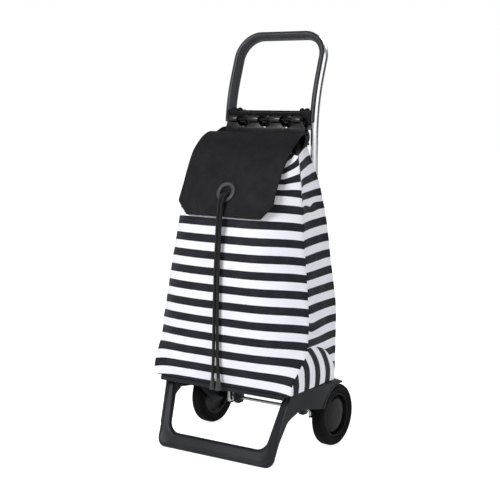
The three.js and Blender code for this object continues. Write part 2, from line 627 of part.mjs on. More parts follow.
// ---------------------------------------------------------------- flap and its grommet
const flapStart = FLAP_STATIONS.map(([y, z]) => [y, z]);
const flapKeys = flapStart.map((row, k) => [k / (FLAP_STATIONS.length - 1), ...FLAP_STATIONS[k]]);
const flapAt = smooth(flapKeys);
const flapPoint = (x, v) => {
  const [y, z] = flapAt(v);
  return new THREE.Vector3(x, y, z);
};
const grommetPlace = flapPoint(0, GROMMET.v);
const flapDown = flapPoint(0, GROMMET.v + 0.02).sub(flapPoint(0, GROMMET.v - 0.02)).normalize();
const flapOut = new THREE.Vector3(-1, 0, 0).cross(flapDown);

// turns a solid made about the X axis so that X leaves the flap at the grommet
function onGrommet(solid) {
  const turn = new THREE.Quaternion().setFromUnitVectors(new THREE.Vector3(1, 0, 0), flapOut);
  const matrix = new THREE.Matrix4().compose(grommetPlace, turn, new THREE.Vector3(1, 1, 1));
  return solid.transform(matrix.elements);
}

function makeFlap() {
  const flap = sheet((u, v) => {
    const [, , half] = flapAt(v);
    return flapPoint((1 - 2 * u) * half, v);
  }, 10, 21, FLAP_THICK);
  return toSolid(flap).subtract(onGrommet(bar('x', GROMMET.barrelR + GAP, 20, 0, 0, 0, 32)));
}
addPiece('flap', makeFlap(), 'blackFabric');

const g = GROMMET;
const flapBow = 1.1;           // how far the flap curves away behind the rim of the washer
const washerFrom = -FLAP_THICK - GAP - flapBow - g.washer;
const grommetFront = [
  [g.holeR, washerFrom], [g.barrelR, washerFrom], [g.barrelR, GAP], [g.outerR, GAP],
  [g.outerR - 0.8, GAP + g.flange - 0.8], [g.outerR - 3, GAP + g.flange], [g.holeR + 2, GAP + g.flange],
  [g.holeR, GAP + g.flange - 1.5],
];
addPiece('grommet_ring', onGrommet(turnedRing(grommetFront, 32)), 'greyPlastic');
const washerRing = ring(g.barrelR + GAP, g.outerR - 2, washerFrom, washerFrom + g.washer);
addPiece('grommet_washer', onGrommet(turnedRing(washerRing, 32)), 'greyPlastic');

// ---------------------------------------------------------------- drawcord
const onFlap = (along, out) => grommetPlace.clone().addScaledVector(flapDown, along).addScaledVector(flapOut, out);
// the cord comes out of the grommet, lies on the flap, and turns about a point just under its lower edge
const CORD_TURN = { y: -205.8, z: 518.5 };
const cordUpper = [onFlap(3.5, -1.6), onFlap(7, 2.1), onFlap(10.8, 5.8), onFlap(16, 8.6), onFlap(23, 9.7), onFlap(31, 9.4)];
cordUpper.push(new THREE.Vector3(0, -201, 541), new THREE.Vector3(0, -204.4, 527), new THREE.Vector3(0, CORD_TURN.y, CORD_TURN.z));
const cordLower = [[CORD_TURN.y - 0.3, 514.6], [-209, 480], [-213.5, 425], [-217.5, 350], [-219.5, 280], [-220, 222], [-220, 176]].map(
  ([y, z]) => new THREE.Vector3(0, y, z),
);
const BELL = { x: 7.8, y: -220, z: 149.5 };

// the two strands lie side by side, and part just above their ends
function makeCord(points, side, spread, steps) {
  const last = points.length - 1;
  const placed = points.map((p, k) => new THREE.Vector3(side * lerp(CORD_X, spread, (k / last) ** 4), p.y, p.z));
  const curve = new THREE.CatmullRomCurve3(placed);
  const section = new THREE.Shape();
  section.absarc(0, 0, CORD_R, 0, 2 * Math.PI);
  return new THREE.ExtrudeGeometry(section, { steps, extrudePath: curve, bevelEnabled: false, curveSegments: 4 });
}

// the stretch on the flap ends in a round end, which the hanging stretch turns about
function makeCordOnFlap(side) {
  const end = new THREE.SphereGeometry(CORD_R, 12, 8).translate(side * CORD_X, CORD_TURN.y, CORD_TURN.z);
  return toSolid(makeCord(cordUpper, side, CORD_X, 12)).add(toSolid(end));
}

const bellProfile = [[0, 0], [7, 0], [7.4, 2], [6.4, 10], [4.8, 19], [4.4, 25], [3.4, 26], [0, 26]];
for (const [side, hand] of [[-1, 'left'], [1, 'right']]) {
  addPiece(`${hand}_cord_on_flap`, makeCordOnFlap(side), 'cord');
  addPiece(`${hand}_cord_hanging`, makeCord(cordLower, side, BELL.x, 24), 'cord');
  const bell = toSolid(new THREE.LatheGeometry(bellProfile.map(([r, z]) => new THREE.Vector2(r, z)), 20).rotateX(Math.PI / 2));
  addPiece(`${hand}_cord_end`, bell, 'greyPlastic', side * BELL.x, BELL.y, BELL.z);
}

export default trolley;
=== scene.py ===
# Looks of the two-wheeled shopping trolley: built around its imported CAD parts, in metres.
# Points in this file are measured from the axle's plane, as in the part's source; new_piece() moves
# them to the frame. +X is to the right of a person facing the front, +Y to the back, +Z up.
import math
from contextlib import contextmanager

import bmesh
import bpy
import numpy as np
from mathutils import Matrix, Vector, noise


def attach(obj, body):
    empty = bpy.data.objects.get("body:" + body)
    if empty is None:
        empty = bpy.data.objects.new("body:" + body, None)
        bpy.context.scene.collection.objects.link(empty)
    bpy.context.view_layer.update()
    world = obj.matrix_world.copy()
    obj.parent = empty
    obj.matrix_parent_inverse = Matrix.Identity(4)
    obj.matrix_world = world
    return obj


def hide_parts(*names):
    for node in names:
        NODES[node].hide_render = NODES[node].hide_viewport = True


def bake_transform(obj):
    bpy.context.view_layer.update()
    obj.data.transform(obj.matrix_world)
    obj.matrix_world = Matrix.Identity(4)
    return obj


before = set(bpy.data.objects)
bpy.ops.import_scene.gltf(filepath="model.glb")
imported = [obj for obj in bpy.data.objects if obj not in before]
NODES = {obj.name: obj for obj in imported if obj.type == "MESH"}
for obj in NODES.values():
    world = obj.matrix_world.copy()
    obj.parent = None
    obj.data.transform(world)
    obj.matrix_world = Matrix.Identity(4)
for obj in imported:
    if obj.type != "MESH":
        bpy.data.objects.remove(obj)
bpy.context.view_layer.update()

AXLE_Y = 0.083                # the axle's plane in the frame
FRONT = Vector((0, -1, 0))
SIDES = ((-1, "left"), (1, "right"))


# ------------------------------------------------------------------ materials
def feed(tree, node, inputs):
    """Each input takes a value, or a link from another node's output."""
    for socket, value in inputs.items():
        if isinstance(value, bpy.types.NodeSocket):
            tree.links.new(value, node.inputs[socket])
        else:
            node.inputs[socket].default_value = value


def add_node(tree, kind, inputs=None, **settings):
    node = tree.nodes.new(kind)
    for key, value in settings.items():
        setattr(node, key, value)
    feed(tree, node, inputs or {})
    return node


class Nodes:
    """A short way to write a material's node tree."""

    def __init__(self, name, colour, roughness, **sockets):
        self.material = bpy.data.materials.new(name)
        self.material.use_nodes = True
        self.tree = self.material.node_tree
        self.shade(Base_Color=(*colour, 1), Roughness=roughness, **sockets)
        self.place = self.add("ShaderNodeTexCoord").outputs["Object"]
        self.bump = None

    def add(self, kind, inputs=None, **settings):
        return add_node(self.tree, kind, inputs, **settings)

    def shade(self, **sockets):
        """Sets or links the shader's inputs."""
        inputs = {name.replace("_", " "): value for name, value in sockets.items()}
        feed(self.tree, self.tree.nodes["Principled BSDF"], inputs)

    def math(self, operation, *values):
        return self.add("ShaderNodeMath", dict(enumerate(values)), operation=operation).outputs[0]

    def stretched(self, scale):
        return self.add("ShaderNodeMapping", {"Scale": scale, "Vector": self.place}).outputs[0]

    def noise(self, scale, detail=3.0, source=None, roughness=0.55):
        inputs = {"Vector": source or self.place, "Scale": scale, "Detail": detail, "Roughness": roughness}
        return self.add("ShaderNodeTexNoise", inputs).outputs["Fac"]

    def ranged(self, value, low, high, from_low=0.3, from_high=0.7):
        inputs = {"From Min": from_low, "From Max": from_high, "To Min": low, "To Max": high, "Value": value}
        return self.add("ShaderNodeMapRange", inputs).outputs["Result"]

    def mixed(self, factor, one, other):
        one, other = (c if isinstance(c, bpy.types.NodeSocket) else (*c, 1) for c in (one, other))
        inputs = {"Factor": factor, "A": one, "B": other}
        return self.add("ShaderNodeMix", inputs, data_type="RGBA").outputs["Result"]

    def mottled(self, one, other, scale, detail, most=1.0):
        """Two colours that run into each other in soft patches."""
        return self.mixed(self.ranged(self.noise(scale, detail), 0.0, most), one, other)

    def raise_by(self, height, distance, strength=1.0):
        """Adds relief on top of what the surface has."""
        inputs = {"Distance": distance, "Strength": strength, "Height": height}
        if self.bump is not None:
            inputs["Normal"] = self.bump
        self.bump = self.add("ShaderNodeBump", inputs).outputs["Normal"]
        self.shade(Normal=self.bump)


def moulded_plastic(name, dark, light, roughness, grain, shine=0.5):
    """Injection-moulded plastic: a fine spark grain, faint flow marks and scuffs."""
    n = Nodes(name, dark, roughness, Specular_IOR_Level=shine)
    scuffs = n.noise(30.0, 6.0, n.stretched((1.0, 1.0, 0.25)), 0.7)
    rough = n.ranged(scuffs, roughness - 0.07, roughness + 0.1)
    n.shade(Base_Color=n.mottled(dark, light, 9.0, 4.0), Roughness=rough)
    n.raise_by(n.noise(900.0, 2.0), grain)
    n.raise_by(n.noise(14.0, 2.0), 0.0006, 0.5)
    return n.material


def drawn_metal(name, colour, low, high, direction, streak_depth):
    """Drawn or turned metal: fine lines along the direction it was drawn in."""
    n = Nodes(name, colour, low, Metallic=1.0)
    streaks = n.noise(1.0, 4.0, n.stretched(direction), 0.6)
    duller = tuple(c * 0.82 for c in colour)
    n.shade(Base_Color=n.mottled(colour, duller, 22.0, 3.0, 0.5), Roughness=n.ranged(streaks, low, high))
    n.raise_by(streaks, streak_depth)
    return n.material


def weave(n, along, across, pitch, depth):
    """Plain weave: threads pass over and under each other, a pitch apart."""
    turn = 2 * math.pi / pitch
    warp, weft = (n.math("SINE", n.math("MULTIPLY", way, turn)) for way in (along, across))
    n.raise_by(n.math("MULTIPLY", warp, weft), depth)


def cloth_map(n):
    """The cloth map, and its U and V."""
    uv = n.add("ShaderNodeUVMap", uv_map="cloth").outputs["UV"]
    return uv, *n.add("ShaderNodeSeparateXYZ", {0: uv}).outputs[:2]


STRIPE_PERIOD = 0.0357
STRIPE_BLACK = 0.0176          # width of a black stripe
STRIPE_START = 0.3612          # height of the lower edge of one black stripe on the front


def striped_cloth():
    """Coated polyester printed in stripes: the cloth map's V runs up the fabric, in metres."""
    n = Nodes("striped_fabric", (0.8, 0.8, 0.84), 0.5, Specular_IOR_Level=0.08)
    uv, across, up = cloth_map(n)
    wobble = n.math("MULTIPLY", n.math("SUBTRACT", n.noise(60.0, 2.0, uv), 0.5), 0.0006)
    phase = n.math("DIVIDE", n.math("SUBTRACT", n.math("ADD", up, wobble), STRIPE_START), STRIPE_PERIOD)
    place = n.math("FRACT", phase)
    share, edge = STRIPE_BLACK / STRIPE_PERIOD, 0.010
    rise = n.ranged(place, 0.0, 1.0, 0.0, edge)
    fall = n.ranged(place, 1.0, 0.0, share, share + edge)
    white = n.mottled((0.84, 0.84, 0.92), (0.90, 0.90, 0.96), 16.0, 3.0)
    ink = n.mottled((0.014, 0.014, 0.020), (0.024, 0.024, 0.033), 38.0, 4.0)
    rough = n.ranged(n.noise(26.0, 4.0), 0.38, 0.6)
    n.shade(Base_Color=n.mixed(n.math("MULTIPLY", rise, fall), white, ink), Roughness=rough)
    weave(n, across, up, 0.0011, 0.00006)
    n.raise_by(n.noise(34.0, 4.0), 0.0016, 0.35)
    return n.material


def black_cloth(name, tint, gloss, crease):
    """Black coated polyester: a fine weave, a soft sheen and handling creases."""
    n = Nodes(name, tint, 0.6, Specular_IOR_Level=gloss, Sheen_Weight=0.02, Sheen_Roughness=0.4)
    _, across, up = cloth_map(n)
    paler = tuple(c * 1.6 + 0.002 for c in tint)
    rough = n.ranged(n.noise(45.0, 4.0), 0.48, 0.72)
    n.shade(Base_Color=n.mottled(tint, paler, 20.0, 5.0), Roughness=rough)
    weave(n, across, up, 0.0012, 0.00008)
    n.raise_by(n.noise(24.0, 5.0), 0.0022, crease)
    return n.material


def braided_cord():
    """Round braid: strands run round the cord both ways; V of the cloth map runs along it."""
    n = Nodes("cord", (0.008, 0.008, 0.009), 0.7, Specular_IOR_Level=0.3, Sheen_Weight=0.05)
    _, around, along = cloth_map(n)
    turns, pitch = 4.0, 0.011
    slant = n.math("MULTIPLY", along, 2 * math.pi * turns / pitch)
    angle = n.math("MULTIPLY", around, 2 * math.pi * turns)
    one, other = (n.math("SINE", n.math(way, slant, angle)) for way in ("ADD", "SUBTRACT"))
    plait = n.math("MULTIPLY", one, other)
    # the raised strands are painted lighter and the hollows between them darker: painted highlight and
    # painted shade of the braid's relief
    high = n.ranged(plait, 0.0, 1.0, -0.6, 0.9)
    n.shade(Base_Color=n.mixed(high, (0.003, 0.003, 0.004), (0.022, 0.022, 0.025)))
    n.raise_by(plait, 0.0006)
    return n.material


def rubber():
    n = Nodes("tyre", (0.006, 0.006, 0.007), 0.72, Specular_IOR_Level=0.09)
    tone = n.mottled((0.003, 0.003, 0.0035), (0.008, 0.008, 0.009), 18.0, 5.0)
    n.shade(Base_Color=tone, Roughness=n.ranged(n.noise(60.0, 4.0), 0.6, 0.85))
    n.raise_by(n.noise(700.0, 2.0), 0.00015)
    return n.material


def painted_board():
    n = Nodes("board", (0.03, 0.03, 0.032), 0.7)
    grain = n.noise(3.0, 5.0, n.stretched((4.0, 60.0, 60.0)))
    n.shade(Base_Color=n.mixed(n.ranged(grain, 0.0, 1.0), (0.02, 0.02, 0.021), (0.06, 0.058, 0.055)))
    n.raise_by(grain, 0.0004)
    return n.material


# each plastic: its darker and lighter colour, roughness, depth of the grain, and shine
PLASTICS = {
    "grip": ((0.016, 0.017, 0.022), (0.026, 0.027, 0.034), 0.42, 0.00022, 0.4),
    "black_plastic": ((0.0025, 0.0025, 0.0032), (0.005, 0.005, 0.006), 0.28, 0.00012, 0.2),
    "base_plastic": ((0.011, 0.0118, 0.0155), (0.019, 0.0198, 0.0245), 0.36, 0.00025, 0.18),
    "gloss_plastic": ((0.004, 0.004, 0.005), (0.008, 0.008, 0.010), 0.22, 0.00003, 0.13),
    "satin_plastic": ((0.008, 0.008, 0.009), (0.014, 0.014, 0.016), 0.3, 0.00008),
    "grey_plastic": ((0.030, 0.031, 0.035), (0.048, 0.049, 0.054), 0.38, 0.0001, 0.4),
    "nylon": ((0.62, 0.60, 0.55), (0.72, 0.70, 0.65), 0.5, 0.0001),
    "thread": ((0.010, 0.010, 0.012), (0.022, 0.022, 0.025), 0.6, 0.0001),
}
GRIP, FITTING, BASE, HUB, SATIN, GREY, NYLON, THREAD = (
    moulded_plastic(name, *look) for name, look in PLASTICS.items())
ALUMINIUM = drawn_metal("aluminium", (0.86, 0.87, 0.89), 0.10, 0.22, (420.0, 420.0, 3.0), 0.000006)
STEEL = drawn_metal("steel", (0.62, 0.62, 0.63), 0.22, 0.42, (5.0, 500.0, 500.0), 0.00004)
RUBBER = rubber()
STRIPED = striped_cloth()
FLAP_CLOTH = black_cloth("flap_fabric", (0.0056, 0.0051, 0.0066), gloss=0.17, crease=1.0)
BLACK_CLOTH = black_cloth("black_fabric", (0.0026, 0.0025, 0.0029), gloss=0.2, crease=0.9)
BRAID = braided_cord()
BOARD = painted_board()


# ------------------------------------------------------------------ camera, light and floor
# each card in the world's light: its direction, the cosine where its edge begins, and its strength
CARDS = [((-0.84, -0.54, 0), 0.95, 0.02), ((0.52, 0.85, 0), 0.95, 0.02), ((0.98, 0.17, 0), 0.85, 1.3)]
CARD_EDGE = 0.035
WORLD_LIGHT = 0.33
FLOOR_SEEN, FLOOR_LIGHT, FLOOR_REACH = 0.82, 0.2, 12.0


def aim(name, data, place, target):
    """A camera or light at a place in the frame, looking at a target."""
    thing = bpy.data.objects.new(name, data)
    thing.location = place
    thing.rotation_mode = "QUATERNION"
    thing.rotation_quaternion = (Vector(target) - Vector(place)).to_track_quat("-Z", "Y")
    bpy.context.scene.collection.objects.link(thing)
    return thing


def make_camera():
    azimuth, pitch = math.radians(34.14), math.radians(7.91)
    place = Vector((1.4536, -2.1471, 0.8014))
    level = Vector((-math.sin(azimuth), math.cos(azimuth), 0))
    ahead = level * math.cos(pitch) - Vector((0, 0, math.sin(pitch)))
    data = bpy.data.cameras.new("camera")
    data.lens, data.sensor_width = 84.0, 36.0
    bpy.context.scene.camera = aim("camera", data, place, place + ahead)


def make_light(name, place, size, power):
    data = bpy.data.lights.new(name, "AREA")
    data.shape, data.size, data.size_y = "RECTANGLE", size[0], size[1]
    data.energy = power
    aim(name, data, place, (0, 0, 0.45))


def with_cards(tree, light):
    """The world's light with two dark cards and a bright one, which bright metal shows as upright bands."""
    place = add_node(tree, "ShaderNodeTexCoord").outputs["Generated"]
    for towards, edge, strength in CARDS:
        facing = add_node(tree, "ShaderNodeVectorMath", {0: place, 1: towards}, operation="DOT_PRODUCT")
        inputs = {"Value": facing.outputs["Value"], "From Min": edge, "From Max": edge + CARD_EDGE,
                  "To Min": light, "To Max": strength}
        card = add_node(tree, "ShaderNodeMapRange", inputs, interpolation_type="SMOOTHSTEP")
        light = card.outputs["Result"]
    return light


def seen_or_lit(tree, seen, lighting):
    """One strength for what is seen directly and another for the light that it gives."""
    direct = add_node(tree, "ShaderNodeLightPath").outputs["Is Camera Ray"]
    inputs = {"Value": direct, "To Min": lighting, "To Max": seen}
    return add_node(tree, "ShaderNodeMapRange", inputs).outputs["Result"]


def make_studio():
    scene = bpy.context.scene
    scene.view_settings.view_transform = "Standard"
    scene.world = bpy.data.worlds.new("studio")
    scene.world.use_nodes = True
    tree = scene.world.node_tree
    strength = seen_or_lit(tree, 1.0, with_cards(tree, WORLD_LIGHT))
    feed(tree, tree.nodes["Background"], {"Color": (1, 1, 1, 1), "Strength": strength})
    make_light("key", (-0.9, -3.0, 2.4), (1.4, 1.4), 92)
    make_light("side", (3.0, -1.0, 1.6), (0.7, 1.8), 8)
    make_light("back", (0.4, 2.8, 2.4), (1.6, 1.2), 30)

    r = FLOOR_REACH
    mesh = bpy.data.meshes.new("floor")
    mesh.from_pydata([(-r, -r, 0), (r, -r, 0), (r, r, 0), (-r, r, 0)], [], [(0, 1, 2, 3)])
    n = Nodes("floor", (0.8, 0.8, 0.8), 0.7, Specular_IOR_Level=0.1, Emission_Color=(1, 1, 1, 1))
    n.shade(Emission_Strength=seen_or_lit(n.tree, FLOOR_SEEN, FLOOR_LIGHT))
    mesh.materials.append(n.material)
    floor = bpy.data.objects.new("floor", mesh)
    scene.collection.objects.link(floor)


make_camera()
make_studio()


# ------------------------------------------------------------------ mesh helpers
def smooth(mesh, crisp=None):
    """Smooth shading; crisp is the angle that stays sharp."""
    mesh.shade_smooth()
    if crisp:
        mesh.set_sharp_from_angle(angle=math.radians(crisp))


def new_piece(name, points, faces, material, crisp=None, uvs=None):
    """A mesh object from points measured from the axle's plane."""
    mesh = bpy.data.meshes.new(name)
    mesh.from_pydata([(p[0], p[1] + AXLE_Y, p[2]) for p in points], [], faces)
    if uvs is not None:
        layer = mesh.uv_layers.new(name="cloth")
        layer.data.foreach_set("uv", np.asarray(uvs, np.float32).ravel())
    mesh.validate()
    smooth(mesh, crisp)
    mesh.materials.append(material)
    piece = bpy.data.objects.new(name, mesh)
    bpy.context.scene.collection.objects.link(piece)
    return piece


def settle(piece, body, slot, *nodes):
    """The piece rides on a body and stands for CAD nodes, which it hides; slot is not used."""
    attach(piece, body)
    if nodes:
        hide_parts(*nodes)


def modified(piece, *steps):
    """Turns what modifiers make into the piece's own mesh; each is given as its kind and settings."""
    for kind, settings in steps:
        step = piece.modifiers.new(kind.lower(), kind)
        for key, value in settings.items():
            setattr(step, key, value)
    graph = bpy.context.evaluated_depsgraph_get()
    made = bpy.data.meshes.new_from_object(piece.evaluated_get(graph), depsgraph=graph)
    old = piece.data
    piece.modifiers.clear()
    piece.data = made
    bpy.data.meshes.remove(old)
    return piece


SMOOTHER = ("SUBSURF", {"levels": 1, "render_levels": 1})


def softer(width):
    """A modifier that rounds edges sharper than 50 degrees."""
    return "BEVEL", {"width": width, "segments": 2, "limit_method": "ANGLE", "angle_limit": math.radians(50)}


def cloth(thickness):
    return "SOLIDIFY", {"thickness": thickness, "offset": -1}


@contextmanager
def editing(piece):
    """The piece's mesh as a bmesh, which goes back into the piece at the end."""
    mesh = bmesh.new()
    mesh.from_mesh(piece.data)
    yield mesh
    mesh.to_mesh(piece.data)
    mesh.free()


def face_outwards(piece):
    with editing(piece) as mesh:
        bmesh.ops.recalc_face_normals(mesh, faces=mesh.faces)
    return piece


def grid_faces(columns, rows, wrap_columns=False, wrap_rows=False):
    """Quads of a grid stored row by row; a wrapped direction joins its last line to its first."""
    across = columns if wrap_columns else columns + 1
    down = rows if wrap_rows else rows + 1
    faces = []
    for j in range(rows):
        for i in range(columns):
            i2, j2 = (i + 1) % across, (j + 1) % down
            faces.append((j * across + i, j * across + i2, j2 * across + i2, j2 * across + i))
    return faces


def frames_along(path):
    """Front and inward directions at each point of a path; the front starts facing -Y."""
    made, front = [], FRONT.copy()
    for k, here in enumerate(path):
        into = (here - path[max(k - 1, 0)]).normalized()
        out = (path[min(k + 1, len(path) - 1)] - here).normalized()
        tangent = (into + out).normalized()
        front = (front - tangent * front.dot(tangent)).normalized()
        made.append((front.copy(), tangent.cross(front)))
    return made


def sweep(path, section, closed_ends=True):
    """Points and faces of a closed section (front, inward) carried along a path."""
    points = []
    for here, (front, inward) in zip(path, frames_along(path)):
        points += [here + front * a + inward * b for a, b in section]
    sides = len(section)
    faces = grid_faces(sides, len(path) - 1, wrap_columns=True)
    if closed_ends:
        last = (len(path) - 1) * sides
        faces += [tuple(range(sides))[::-1], tuple(range(last, last + sides))]
    return points, faces


def lathe(name, profile, centre, axis, material, sides=96, crisp=35):
    """Turns a profile of (radius, place along the axis); one off the axis closes on itself."""
    axis = Vector(axis).normalized()
    one = axis.orthogonal().normalized()
    other = axis.cross(one)
    solid = profile[0][0] < 1e-9
    rings = profile[1:-1] if solid else profile
    points = []
    for radius, along in rings:
        for k in range(sides):
            a = 2 * math.pi * k / sides
            spoke = one * math.cos(a) + other * math.sin(a)
            points.append(Vector(centre) + axis * along + spoke * radius)
    faces = grid_faces(sides, len(rings) - solid, wrap_columns=True, wrap_rows=not solid)
    if solid:
        for end, ring in ((profile[0], 0), (profile[-1], len(rings) - 1)):
            points.append(Vector(centre) + axis * end[1])
            tip, first = len(points) - 1, ring * sides
            for k in range(sides):
                pair = (first + k, first + (k + 1) % sides)
                faces.append((tip, *(pair if ring else pair[::-1])))
    return face_outwards(new_piece(name, points, faces, material, crisp))


def rounded(outline, radius, steps=5, closed=True):
    """The outline with its corners rounded; radius is one number, or one for each corner."""
    count = len(outline)
    radii = [radius] * count if isinstance(radius, (int, float)) else radius
    made = []
    for k, corner in enumerate(outline):
        here = Vector(corner)
        before, after = Vector(outline[k - 1]) - here, Vector(outline[(k + 1) % count]) - here
        turn = math.pi - before.angle(after)
        reach = min(radii[k] * math.tan(turn / 2), before.length * 0.49, after.length * 0.49)
        if reach < 1e-6 or (not closed and k in (0, count - 1)):
            made.append(tuple(corner))
            continue
        start, end = here + before.normalized() * reach, here + after.normalized() * reach
        for i in range(steps + 1):
            t = i / steps
            made.append(tuple(start.lerp(here, t).lerp(here.lerp(end, t), t)))
    return made


def arc(centre, radius, start, end, steps):
    """Points on an arc, angles in degrees."""
    turns = [math.radians(start + (end - start) * k / steps) for k in range(steps + 1)]
    return [(centre[0] + radius * math.cos(a), centre[1] + radius * math.sin(a)) for a in turns]


def circle(centre, radius, sides=48):
    return arc(centre, radius, 0, 360 - 360 / sides, sides - 1)


def slab(outline, axis, low, high, bevel=0.0):
    """An outline thickened along x, y or z, with the edges of its two faces rounded."""
    spot = "xyz".index(axis)
    count = len(outline)
    points = [(*pair[:spot], level, *pair[spot:]) for level in sorted((low, high)) for pair in outline]
    faces = [tuple(range(count)), tuple(range(2 * count - 1, count - 1, -1))]
    faces += [(k, (k + 1) % count, count + (k + 1) % count, count + k) for k in range(count)]
    piece = new_piece("slab", points, faces, FITTING)
    with editing(piece) as mesh:
        bmesh.ops.recalc_face_normals(mesh, faces=mesh.faces)
        if bevel:
            edges = list({e for f in mesh.faces if len(f.verts) == count for e in f.edges})
            bmesh.ops.bevel(mesh, geom=edges, offset=bevel, segments=3, affect="EDGES", profile=0.5,
                            clamp_overlap=True)
    return piece


def rectangle(a0, a1, b0, b1):
    return [(a0, b0), (a1, b0), (a1, b1), (a0, b1)]


def box(x0, x1, y0, y1, z0, z1, bevel=0.0):
    return slab(rounded(rectangle(x0, x1, y0, y1), bevel, 3), "z", z0, z1, bevel)


def rod(axis, radius, low, high, a, b, bevel=0.0, sides=48):
    """A round bar along x, y or z; a and b are its other two coordinates, in order."""
    return slab(circle((a, b), radius, sides), axis, low, high, bevel)


def join(base, others, operation="UNION"):
    """Joins pieces to a base, and removes them."""
    for other in others:
        modified(base, ("BOOLEAN", {"operation": operation, "solver": "MANIFOLD", "object": other}))
        data = other.data
        bpy.data.objects.remove(other)
        bpy.data.meshes.remove(data)
    return base


def cut(base, others):
    return join(base, others, "DIFFERENCE")


def finish_solid(piece, name, material, crisp=32):
    piece.name = piece.data.name = name
    piece.data.materials.clear()
    piece.data.materials.append(material)
    with editing(piece) as mesh:
        bmesh.ops.remove_doubles(mesh, verts=mesh.verts, dist=2e-6)
        bmesh.ops.dissolve_degenerate(mesh, dist=1e-6, edges=mesh.edges)
    smooth(piece.data, crisp)
    return piece


def smooth_values(stations):
    """A smooth curve through stations: the first column is where, the others are what."""
    places = [row[0] for row in stations]
    keys = np.array([row[1:] for row in stations])
    last = len(places) - 1
    spans = [(max(k - 1, 0), min(k + 1, last)) for k in range(last + 1)]
    slopes = [(keys[b] - keys[a]) / (places[b] - places[a]) for a, b in spans]

    def at(where):
        k = max(0, min(int(np.searchsorted(places, where)) - 1, last - 1))
        gap = places[k + 1] - places[k]
        t = (where - places[k]) / gap
        middle = keys[k] * (2 * t**3 - 3 * t**2 + 1) + keys[k + 1] * (-2 * t**3 + 3 * t**2)
        return (middle + gap * (slopes[k] * (t**3 - 2 * t**2 + t) + slopes[k + 1] * (t**3 - t**2))).tolist()

    return at


def blend_in(low, high, value):
    """0 below low, 1 above high, and smooth in between."""
    t = min(1.0, max(0.0, (value - low) / (high - low)))
    return t * t * (3 - 2 * t)


def lengths_along(line):
    """How far along the line each of its points lies."""
    steps = [(b - a).length for a, b in zip(line, line[1:])]
    return [sum(steps[:k]) for k in range(len(line))]


def evenly(line, count):
    """The same line with evenly spaced points."""
    lengths = lengths_along(line)
    made = []
    for k in range(count + 1):
        want = lengths[-1] * k / count
        i = max(0, min(int(np.searchsorted(lengths, want)) - 1, len(line) - 2))
        share = (want - lengths[i]) / max(1e-9, lengths[i + 1] - lengths[i])
        made.append(line[i].lerp(line[i + 1], min(1.0, max(0.0, share))))
    return made


def through(points, steps):
    """A smooth line through points, with a number of steps between each pair."""
    keys = [Vector(p) for p in points]
    keys = [keys[0] * 2 - keys[1], *keys, keys[-1] * 2 - keys[-2]]
    line = []
    for a, b, c, d in zip(keys, keys[1:], keys[2:], keys[3:]):
        for k in range(steps):
            t = k / steps
            line.append(0.5 * (2 * b + (c - a) * t + (2 * a - 5 * b + 4 * c - d) * t**2
                               + (3 * b - a - 3 * c + d) * t**3))
    line.append(keys[-2])
    return line


def cloth_sheet(name, place, columns, rows, thickness, material, size):
    """A soft sheet on place(u, v), thickened inwards; size is its width and length for the cloth map."""
    points = [place(i / columns, j / rows) for j in range(rows + 1) for i in range(columns + 1)]
    uvs = []
    for j in range(rows):
        for i in range(columns):
            for a, b in ((i, j), (i + 1, j), (i + 1, j + 1), (i, j + 1)):
                uvs.append((a / columns * size[0], b / rows * size[1]))
    piece = new_piece(name, points, grid_faces(columns, rows), material, None, uvs)
    return modified(piece, cloth(thickness), SMOOTHER)


def tube_piece(name, line, radius, material, sides=14):
    """A round tube on a line, with a cloth map: U round it and V along it in metres."""
    points, faces = sweep(line, circle((0, 0), radius, sides))
    lengths = lengths_along(line)
    uvs = []
    for face in faces[:-2]:
        i, j = face[0] % sides, face[0] // sides
        uvs += [((i + a) / sides, lengths[j + b]) for a, b in ((0, 0), (1, 0), (1, 1), (0, 1))]
    uvs += [(0, 0)] * (2 * sides)
    return face_outwards(new_piece(name, points, faces, material, 60, uvs)), lengths[-1]


# ------------------------------------------------------------------ drawcord
STRAND_R = 0.0035
# the route that both strands follow: y, z and how far each lies from the middle
CORD_ROUTE = [
    (-0.1781, 0.5746, 0.0038), (-0.1830, 0.5730, 0.0038), (-0.1880, 0.5711, 0.0038),
    (-0.1927, 0.5676, 0.0038), (-0.1967, 0.5617, 0.0038), (-0.1998, 0.5544, 0.0038),
    (-0.2010, 0.5410, 0.0038), (-0.2044, 0.5270, 0.0038), (-0.2058, 0.5185, 0.0038),
    (-0.2061, 0.5146, 0.0038), (-0.2090, 0.4800, 0.0038), (-0.2135, 0.4250, 0.0038),
    (-0.2175, 0.3500, 0.0041), (-0.2195, 0.2800, 0.0046), (-0.2200, 0.2220, 0.0057),
    (-0.2200, 0.1760, 0.0078),
]
BELL_PLACE = (0.0078, -0.2200, 0.1495)
BELL = [(0, 0), (0.0069, 0), (0.0074, 0.002), (0.0064, 0.010), (0.0047, 0.019), (0.0043, 0.0245),
        (0.0034, 0.026), (0, 0.026)]
BELL_ROUNDING = [0, 0.0012, 0.001, 0.02, 0.02, 0.002, 0.001, 0]


def make_cord(side, hand):
    line = through([(side * half, y, z) for y, z, half in CORD_ROUTE], 6)
    strand, length = tube_piece(f"{hand}_cord", line, STRAND_R, BRAID)
    centre = (side * BELL_PLACE[0], *BELL_PLACE[1:])
    bell = lathe(f"{hand}_bell", rounded(BELL, BELL_ROUNDING), centre, (0, 0, 1), GREY, 48)
    settle(bell, "drawcord", "grey_plastic", f"{hand}_cord_end")
    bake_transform(strand)
    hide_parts(f"{hand}_cord_on_flap", f"{hand}_cord_hanging")
    path = [(p.x, p.y + AXLE_Y, p.z) for p in line]
    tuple(path[0])


for side, hand in SIDES:
    make_cord(side, hand)


